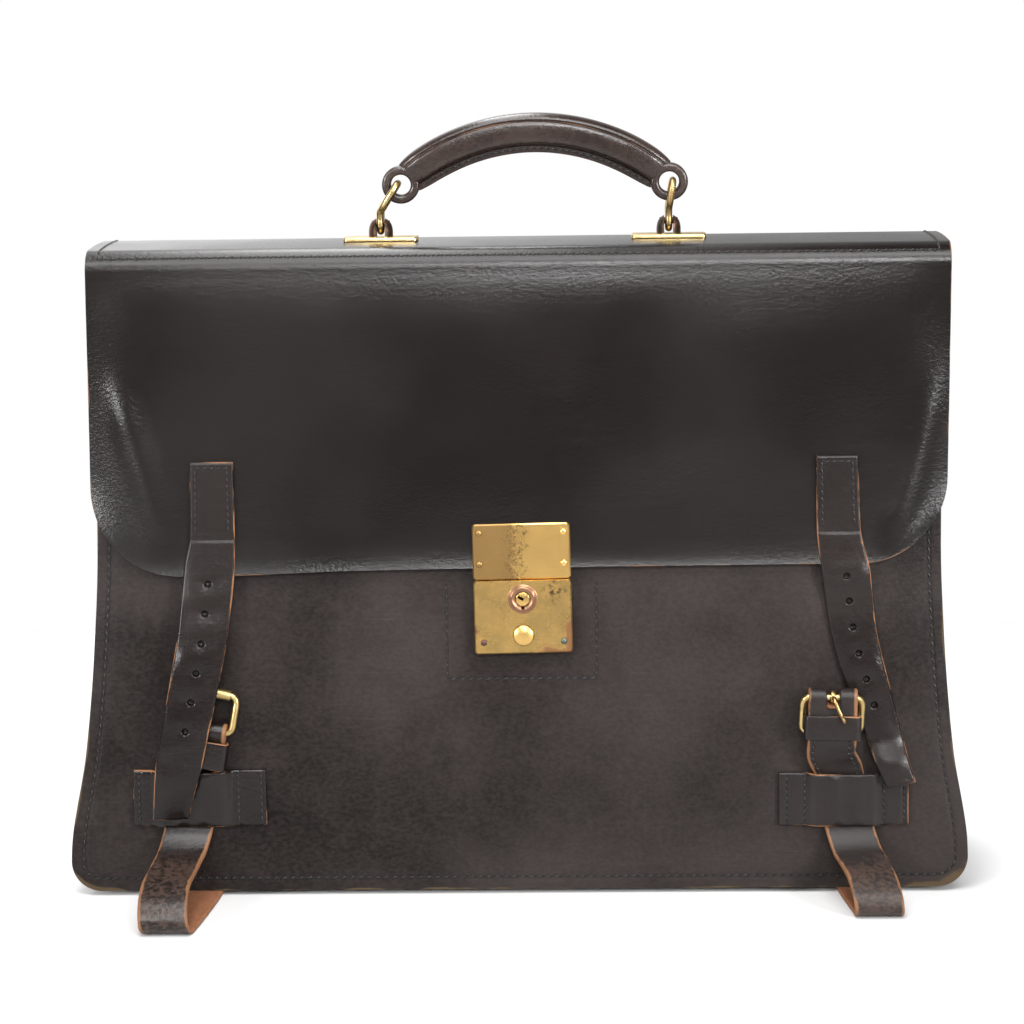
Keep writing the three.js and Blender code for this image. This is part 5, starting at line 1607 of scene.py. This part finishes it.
class LeatherSettings(bpy.types.PropertyGroup):
    """Colours of the leather."""

    body_dark: tint("Body dark", "Darker colour of the case", (0.0008, 0.0005, 0.0004))
    body_warm: tint("Body warm", "Warmer colour in the case's mottling", (0.005, 0.0031, 0.0026))
    panel_dark: tint("Panel dark", "Darker colour of the front panel", (0.0016, 0.0012, 0.0011))
    panel_warm: tint("Panel warm", "Warmer colour in the front panel's mottling", (0.0202, 0.0154, 0.0139))
    strap_dark: tint("Strap dark", "Darker colour of the straps", (0.0016, 0.001, 0.0009))
    strap_warm: tint("Strap warm", "Warmer colour in the straps' mottling", (0.0098, 0.0062, 0.0052))
    handle_warm: tint("Handle warm", "Warmer colour of the handle", (0.02, 0.0115, 0.0088))
    tan: tint("Rubbed edge", "Colour of bare leather at rubbed edges", (0.21, 0.095, 0.042))
    flesh: tint("Inner face", "Colour of the straps' undyed inner face", (0.24, 0.098, 0.046))


class BrassSettings(bpy.types.PropertyGroup):
    """Colours of the brass."""

    clean: tint("Clean brass", "Colour of rubbed, clean brass", (0.83, 0.53, 0.18))
    brown: tint("Old brass", "Colour of the brown bloom on brass", (0.42, 0.25, 0.095))


class SewingSettings(bpy.types.PropertyGroup):
    """Stitches and thread."""

    pitch: measure("Stitch pitch", "Length from stitch to stitch", 4.1)
    radius: measure("Thread radius", "Half the thread's thickness", 0.42)
    hole: measure("Awl hole", "Half the width of an awl hole", 0.78)
    thread: tint("Thread", "Colour of the thread", (0.007, 0.005, 0.0042))

    def sizes(self):
        return {"pitch": self.pitch / MM, "radius": self.radius / MM, "hole": self.hole / MM}


class StageSettings(bpy.types.PropertyGroup):
    """Lights and floor."""

    top_light: watts("Top light", "Power of the light above", 24.0)
    key_light: watts("Key light", "Power of the light above the front", 27.0)
    side_light: watts("Side lights", "Power of each light at the sides", 1.6)
    front_light: watts("Front light", "Power of the light over the camera", 0.6)
    room: FloatProperty(name="Room", description="Brightness of the room around", default=1.0, min=0)


def leather_of(kind):
    """The leather of a group of pieces, made once."""
    known = bpy.data.materials.get(kind)
    if known:
        return known
    look = bpy.context.scene.briefcase_leather
    tan, strap = tuple(look.tan), (look.strap_dark, look.strap_warm)
    looks = {
        "flap_finish": dict(
            tones=(look.body_dark, look.body_warm), tan=shade(tan, 0.35), reach=0.8, broken=4.5,
            gloss=(0.19, 0.25), scuffed=0.1, worn=0.1,
        ),
        "panel_finish": dict(
            tones=(look.panel_dark, look.panel_warm), tan=PANEL_BARE, reach=1.3, broken=2.6,
            gloss=(0.3, 0.42), scuffed=0.08, shine=0.1,
        ),
        "strap_finish": dict(
            tones=strap, tan=tan, reach=0.8, broken=2.9, gloss=(0.19, 0.28), scuffed=0.2, worn=0.15,
            holes=True, shine=0.25,
        ),
        "buckle_strap_finish": dict(
            tones=strap, tan=shade(tan, 0.8), reach=2.4, broken=1.5, gloss=(0.26, 0.4), scuffed=0.3,
            flesh=tuple(look.flesh), slack=SLACK_SHEEN,
        ),
        "keeper_finish": dict(
            tones=strap, tan=tan, reach=0.7, broken=3.6, gloss=(0.2, 0.3), scuffed=0.1, worn=0.2
        ),
        # On the handle the tan rub also paints a highlight line along the grip's groove.
        "handle_finish": dict(
            tones=(look.strap_dark, look.handle_warm), tan=shade(tan, 0.35), reach=0.5, broken=2.0,
            gloss=(0.17, 0.27), scuffed=0.3, shine=0.4,
        ),
    }
    return leather(kind, **looks[kind])


def brass_of(kind):
    """The brass of a group of pieces, made once."""
    known = bpy.data.materials.get(kind)
    if known:
        return known
    look = bpy.context.scene.briefcase_brass
    clean, brown = tuple(look.clean), tuple(look.brown)
    # Clean and brown colours, shares of bloom and specks, the roughness of clean and brown metal, and any
    # stains of the piece's own, which for the plug and cylinder are painted shade in the keyway and notch.
    looks = {
        "buckle_brass": ((0.58, 0.44, 0.19), (0.27, 0.18, 0.075), 0.75, 0.5, (0.28, 0.46)),
        "prong_brass": ((0.36, 0.235, 0.1), (0.17, 0.1, 0.045), 0.8, 0.6, (0.28, 0.46)),
        "bail_brass": ((0.5, 0.36, 0.16), (0.23, 0.15, 0.065), 0.9, 0.6, (0.3, 0.46)),
        "knob_brass": ((0.58, 0.43, 0.19), (0.27, 0.18, 0.075), 0.6, 0.4, (0.3, 0.46), knob_stains),
        "hasp_brass": (clean, brown, 0.25, 0.12, (0.24, 0.36), hasp_stains),
        "lock_plate_brass": (shade(clean, 0.8), shade(brown, 0.8), 0.5, 0.2, (0.24, 0.38), lock_stains),
        "cylinder_brass": ((0.29, 0.155, 0.09), (0.17, 0.09, 0.052), 0.6, 0.4, (0.28, 0.42), keyway_shade),
        "plug_brass": (shade(clean, 0.8), brown, 0.25, 0.2, (0.26, 0.36), keyway_shade),
        "button_brass": (shade(clean, 0.76), brown, 0.2, 0.15, (0.3, 0.4)),
        "copper_screw": ((0.13, 0.07, 0.06), (0.07, 0.038, 0.042), 0.9, 0.5, (0.35, 0.5)),
        "green_screw": ((0.1, 0.12, 0.1), (0.055, 0.1, 0.11), 0.95, 0.4, (0.4, 0.6)),
    }
    return brass(kind, *looks[kind])


def finish_node(name, material):
    """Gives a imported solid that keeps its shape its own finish."""
    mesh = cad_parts[name].data
    mesh.materials.clear()
    mesh.materials.append(material)


# Operators

class MakeFinishes(bpy.types.Operator):
    """Make the node groups that the leather and brass share"""

    bl_idname = "briefcase.make_finishes"
    bl_label = "Shared finishes"

    def execute(self, context):
        hide_group()
        rub_group()
        tarnish_group()
        return {"FINISHED"}


class MakeShell(bpy.types.Operator):
    """Make the front panel, the gusset, and the back with the flap"""

    bl_idname = "briefcase.make_shell"
    bl_label = "Leather shell"

    def execute(self, context):
        for name, shape, finish in (
            ("front_panel", front_panel_shape(), "panel_finish"),
            ("back_and_flap", back_and_flap_shape(), "flap_finish"),
            ("gusset", gusset_shape(), "panel_finish"),
        ):
            piece = mesh_piece(f"{name}_hide", shape, leather_of(finish), "case", "body_leather", name)
            ease_edges(piece, 0.7)
        return {"FINISHED"}


class MakeStraps(bpy.types.Operator):
    """Make the flap straps, the buckle straps, and the keepers that hold them"""

    bl_idname = "briefcase.make_straps"
    bl_label = "Straps and keepers"

    def execute(self, context):
        for side, buckle in BUCKLES.items():
            for name, shape, finish, slot, eased in (
                ("flap_strap", flap_strap_shape(FLAP_STRAPS[side]), "strap_finish", "strap_leather", True),
                ("keeper_patch", keeper_patch_shape(KEEPERS[side]), "keeper_finish", "body_leather", True),
                ("buckle_strap", buckle_strap_shape(buckle), "buckle_strap_finish", "strap_leather", False),
                ("keeper_loop", keeper_loop_shape(buckle), "keeper_finish", "strap_leather", False),
            ):
                own = f"{side}_{name}"
                piece = mesh_piece(f"{own}_hide", shape, leather_of(finish), "case", slot, own)
                if eased:
                    ease_edges(piece, 0.35, 2)
        return {"FINISHED"}


class MakeBuckles(bpy.types.Operator):
    """Make the buckles' frames, rollers and prongs"""

    bl_idname = "briefcase.make_buckles"
    bl_label = "Buckles"

    def execute(self, context):
        for side, buckle in BUCKLES.items():
            for name, own, shape, finish, body in (
                ("wire", "buckle_frame", buckle_frame_shape, "buckle_brass", "case"),
                ("tube", "buckle_roller", buckle_roller_shape, "buckle_brass", f"{side}_roller"),
                ("tongue", "prong", prong_shape, "prong_brass", PRONG_BODY[side]),
            ):
                new, old = f"{side}_buckle_{name}", f"{side}_{own}"
                mesh_piece(new, shape(buckle), brass_of(finish), body, "fitting_brass", old)
        return {"FINISHED"}


class MakeHandle(bpy.types.Operator):
    """Make the grip with its eyes, the bails, and the plates with their knobs"""

    bl_idname = "briefcase.make_handle"
    bl_label = "Handle"

    def execute(self, context):
        hide = leather_of("handle_finish")
        mesh_piece("handle_hide", handle_grip_shape(), hide, "handle", "handle_leather", "handle_grip")
        for side in ("left", "right"):
            for name, own, shape, finish, body in (
                ("bail_wire", "bail", bail_shape(side), "bail_brass", "handle"),
                ("handle_knob", "handle_plate", handle_plate_shape(side), "knob_brass", "case"),
            ):
                mesh_piece(f"{side}_{name}", shape, brass_of(finish), body, "fitting_brass", f"{side}_{own}")
        return {"FINISHED"}


class MakeLock(bpy.types.Operator):
    """Finish the lock's plates and make its plug, cylinder, button, rivets and screws"""

    bl_idname = "briefcase.make_lock"
    bl_label = "Lock"

    def execute(self, context):
        finish_node("hasp_plate", brass_of("hasp_brass"))
        finish_node("lock_plate", brass_of("lock_plate_brass"))
        for name, own, shape, finish, body in (
            ("key_plug_face", "key_plug", key_plug_shape(), "plug_brass", "plug"),
            ("lock_cylinder_ring", "lock_cylinder", lock_cylinder_shape(), "cylinder_brass", "case"),
            ("lock_button_cap", "lock_button", lock_button_shape(), "button_brass", "button"),
        ):
            mesh_piece(name, shape, brass_of(finish), body, "lock_brass", own)
        hasp = brass_of("hasp_brass")
        for i, (across, along) in enumerate(HASP_RIVETS, 1):
            dome = rivet_shape(across, along, HASP_FRONT)
            mesh_piece(f"hasp_rivet_{i}_dome", dome, hasp, "case", "fitting_brass", f"hasp_rivet_{i}")
        for side, (across, along, finish) in LOCK_SCREWS.items():
            dome = rivet_shape(across, along, LOCK_FRONT)
            own = f"lock_rivet_{side}"
            mesh_piece(f"lock_screw_{side}", dome, brass_of(finish), "case", "fitting_brass", own)
        return {"FINISHED"}


class MakeSewing(bpy.types.Operator):
    """Sew the seams of the case, straps, keepers and handle"""

    bl_idname = "briefcase.make_sewing"
    bl_label = "Sewing"

    def execute(self, context):
        look = context.scene.briefcase_sewing
        thread = thread_material(tuple(look.thread))
        sewing = look.sizes()
        fine = {**sewing, "pitch": sewing["pitch"] * FINE_PITCH}
        for name, shapes in case_seams(sewing).items():
            mesh_piece(name, joined(shapes), thread, "case", "body_leather")
        for name, shapes in strap_seams(fine).items():
            mesh_piece(name, joined(shapes), thread, "case", "strap_leather")
        mesh_piece("handle_seam", handle_seam_shape(fine), thread, "handle", "handle_leather")
        return {"FINISHED"}


def area_light(name, power, size, at, aim, spread=180):
    """Soft rectangular light at a place, turned to face a point, with its beam's spread in degrees."""
    light = bpy.data.lights.new(name, "AREA")
    light.shape = "RECTANGLE"
    light.size, light.size_y = size
    light.energy = power
    light.spread = math.radians(spread)
    lamp = bpy.data.objects.new(name, light)
    z = unit(np.array(at, float) - np.array(aim, float))
    x = unit(np.cross([0.0, 0.0, 1.0], z))
    lamp.matrix_world = set_at(np.column_stack([x, np.cross(z, x), z]), at)
    bpy.context.scene.collection.objects.link(lamp)


def set_at(axes, at):
    """Matrix of an object with the given axes at a place."""
    return Matrix(np.column_stack([axes, at]).tolist() + [[0, 0, 0, 1]])


def pale_room(strength):
    """White to the camera. For the light: brighter behind and ahead, dim at the sides and above."""
    world = bpy.data.worlds.new("pale_room")
    world.use_nodes = True
    n = Nodes(world.node_tree)
    backdrop = n.tree.nodes["Background"]
    backdrop.inputs["Color"].default_value = (1, 1, 1, 1)
    way = n.axes(n.add("ShaderNodeTexCoord").outputs["Generated"])
    behind = n.times(n.ramp(way["Y"], 0.0, 0.6), n.ramp(way["X"], -0.22, 0.1, 1.7, 0.5))
    above = n.ramp(way["Z"], 0.1, 0.8, 0.05, 0.14)
    ahead = n.ramp(way["Y"], -0.3, -0.85, 0.0, 0.5)
    glow = n.times(n.most(n.most(behind, above), ahead), strength)
    room = n.filled("ShaderNodeBackground", 0, {"Color": (1, 1, 1, 1), "Strength": glow})
    seen = n.add("ShaderNodeLightPath").outputs["Is Camera Ray"]
    either = n.filled("ShaderNodeMixShader", 0, {"Fac": seen, 1: room, 2: backdrop.outputs[0]})
    n.feed(either, n.tree.nodes["World Output"].inputs["Surface"])
    return world


def pale_floor():
    x, near, far = FLOOR
    mesh = bpy.data.meshes.new("floor")
    mesh.from_pydata([(-x, near, 0), (x, near, 0), (x, far, 0), (-x, far, 0)], [], [[0, 1, 2, 3]])
    material, _, shader = surface("pale_floor")
    shader.inputs["Base Color"].default_value = FLOOR_COLOUR
    shader.inputs["Roughness"].default_value = 0.7
    mesh.materials.append(material)
    floor = bpy.data.objects.new("floor", mesh)
    bpy.context.scene.collection.objects.link(floor)


def photo_camera():
    """The fitted camera: turned about Z, tipped down, then rolled about its line of sight."""
    turn, pitch, roll = CAMERA["turn"], CAMERA["pitch"], CAMERA["roll"]
    ahead = np.array([-math.sin(turn) * math.cos(pitch), math.cos(turn) * math.cos(pitch), -math.sin(pitch)])
    level = np.array([math.cos(turn), math.sin(turn), 0.0])
    upright = np.cross(level, ahead)
    right = math.cos(roll) * level + math.sin(roll) * upright
    up = math.cos(roll) * upright - math.sin(roll) * level
    data = bpy.data.cameras.new("camera")
    data.sensor_width = SENSOR_MM
    data.lens = CAMERA["focal"] / FRAME_PX * SENSOR_MM
    data.clip_end = 50
    camera = bpy.data.objects.new("camera", data)
    camera.matrix_world = set_at(np.column_stack([right, up, -ahead]), np.array(CAMERA["at"]) * MM)
    bpy.context.scene.collection.objects.link(camera)
    return camera


class MakeStage(bpy.types.Operator):
    """Make the pale floor, the soft lights, the room's light and the camera"""

    bl_idname = "briefcase.make_stage"
    bl_label = "Stage"

    def execute(self, context):
        look = context.scene.briefcase_stage
        context.scene.view_settings.view_transform = "Standard"
        context.scene.world = pale_room(look.room)
        pale_floor()
        # Power, size, place, aim and spread of each light.
        area_light("top_softbox", look.top_light, (2.0, 0.34), (-0.18, 0.42, 1.5), (-0.05, 0.42, 0.0))
        area_light("key_softbox", look.key_light, (1.5, 0.6), (0.1, -0.85, 1.35), (0.0, 0.0, 0.15))
        for name, side, share in (("left_softbox", -1, 1.0), ("right_softbox", 1, RIGHT_SHARE)):
            at, aim = (1.1 * side, -1.05, 0.6), (0.12 * side, 0.0, 0.3)
            area_light(name, look.side_light * share, (0.35, 0.55), at, aim, 44)
        area_light("front_softbox", look.front_light, (0.8, 0.3), (0.1, -1.5, 0.95), (0.0, 0.0, 0.32), 24)
        context.scene.camera = photo_camera()
        return {"FINISHED"}


STEPS = (MakeStage, MakeFinishes, MakeShell, MakeStraps, MakeBuckles, MakeHandle, MakeLock, MakeSewing)


class BriefcasePanel(bpy.types.Panel):
    """Steps that dress the briefcase"""

    bl_idname = "VIEW3D_PT_briefcase"
    bl_label = "Briefcase"
    bl_space_type = "VIEW_3D"
    bl_region_type = "UI"
    bl_category = "Briefcase"

    def draw(self, context):
        for step in STEPS:
            self.layout.operator(step.bl_idname)


SETTINGS = {
    "briefcase_leather": LeatherSettings,
    "briefcase_brass": BrassSettings,
    "briefcase_sewing": SewingSettings,
    "briefcase_stage": StageSettings,
}


def register():
    for settings in SETTINGS.values():
        bpy.utils.register_class(settings)
    for name, settings in SETTINGS.items():
        setattr(bpy.types.Scene, name, PointerProperty(type=settings))
    for step in STEPS:
        bpy.utils.register_class(step)
    bpy.utils.register_class(BriefcasePanel)


def unregister():
    bpy.utils.unregister_class(BriefcasePanel)
    for step in reversed(STEPS):
        bpy.utils.unregister_class(step)
    for name, settings in SETTINGS.items():
        delattr(bpy.types.Scene, name)
        bpy.utils.unregister_class(settings)


def main():
    register()
    bpy.ops.briefcase.make_stage()
    bpy.ops.briefcase.make_finishes()
    bpy.ops.briefcase.make_shell()
    bpy.ops.briefcase.make_straps()
    bpy.ops.briefcase.make_buckles()
    bpy.ops.briefcase.make_handle()
    bpy.ops.briefcase.make_lock()
    bpy.ops.briefcase.make_sewing()


if __name__ == "__main__":
    main()
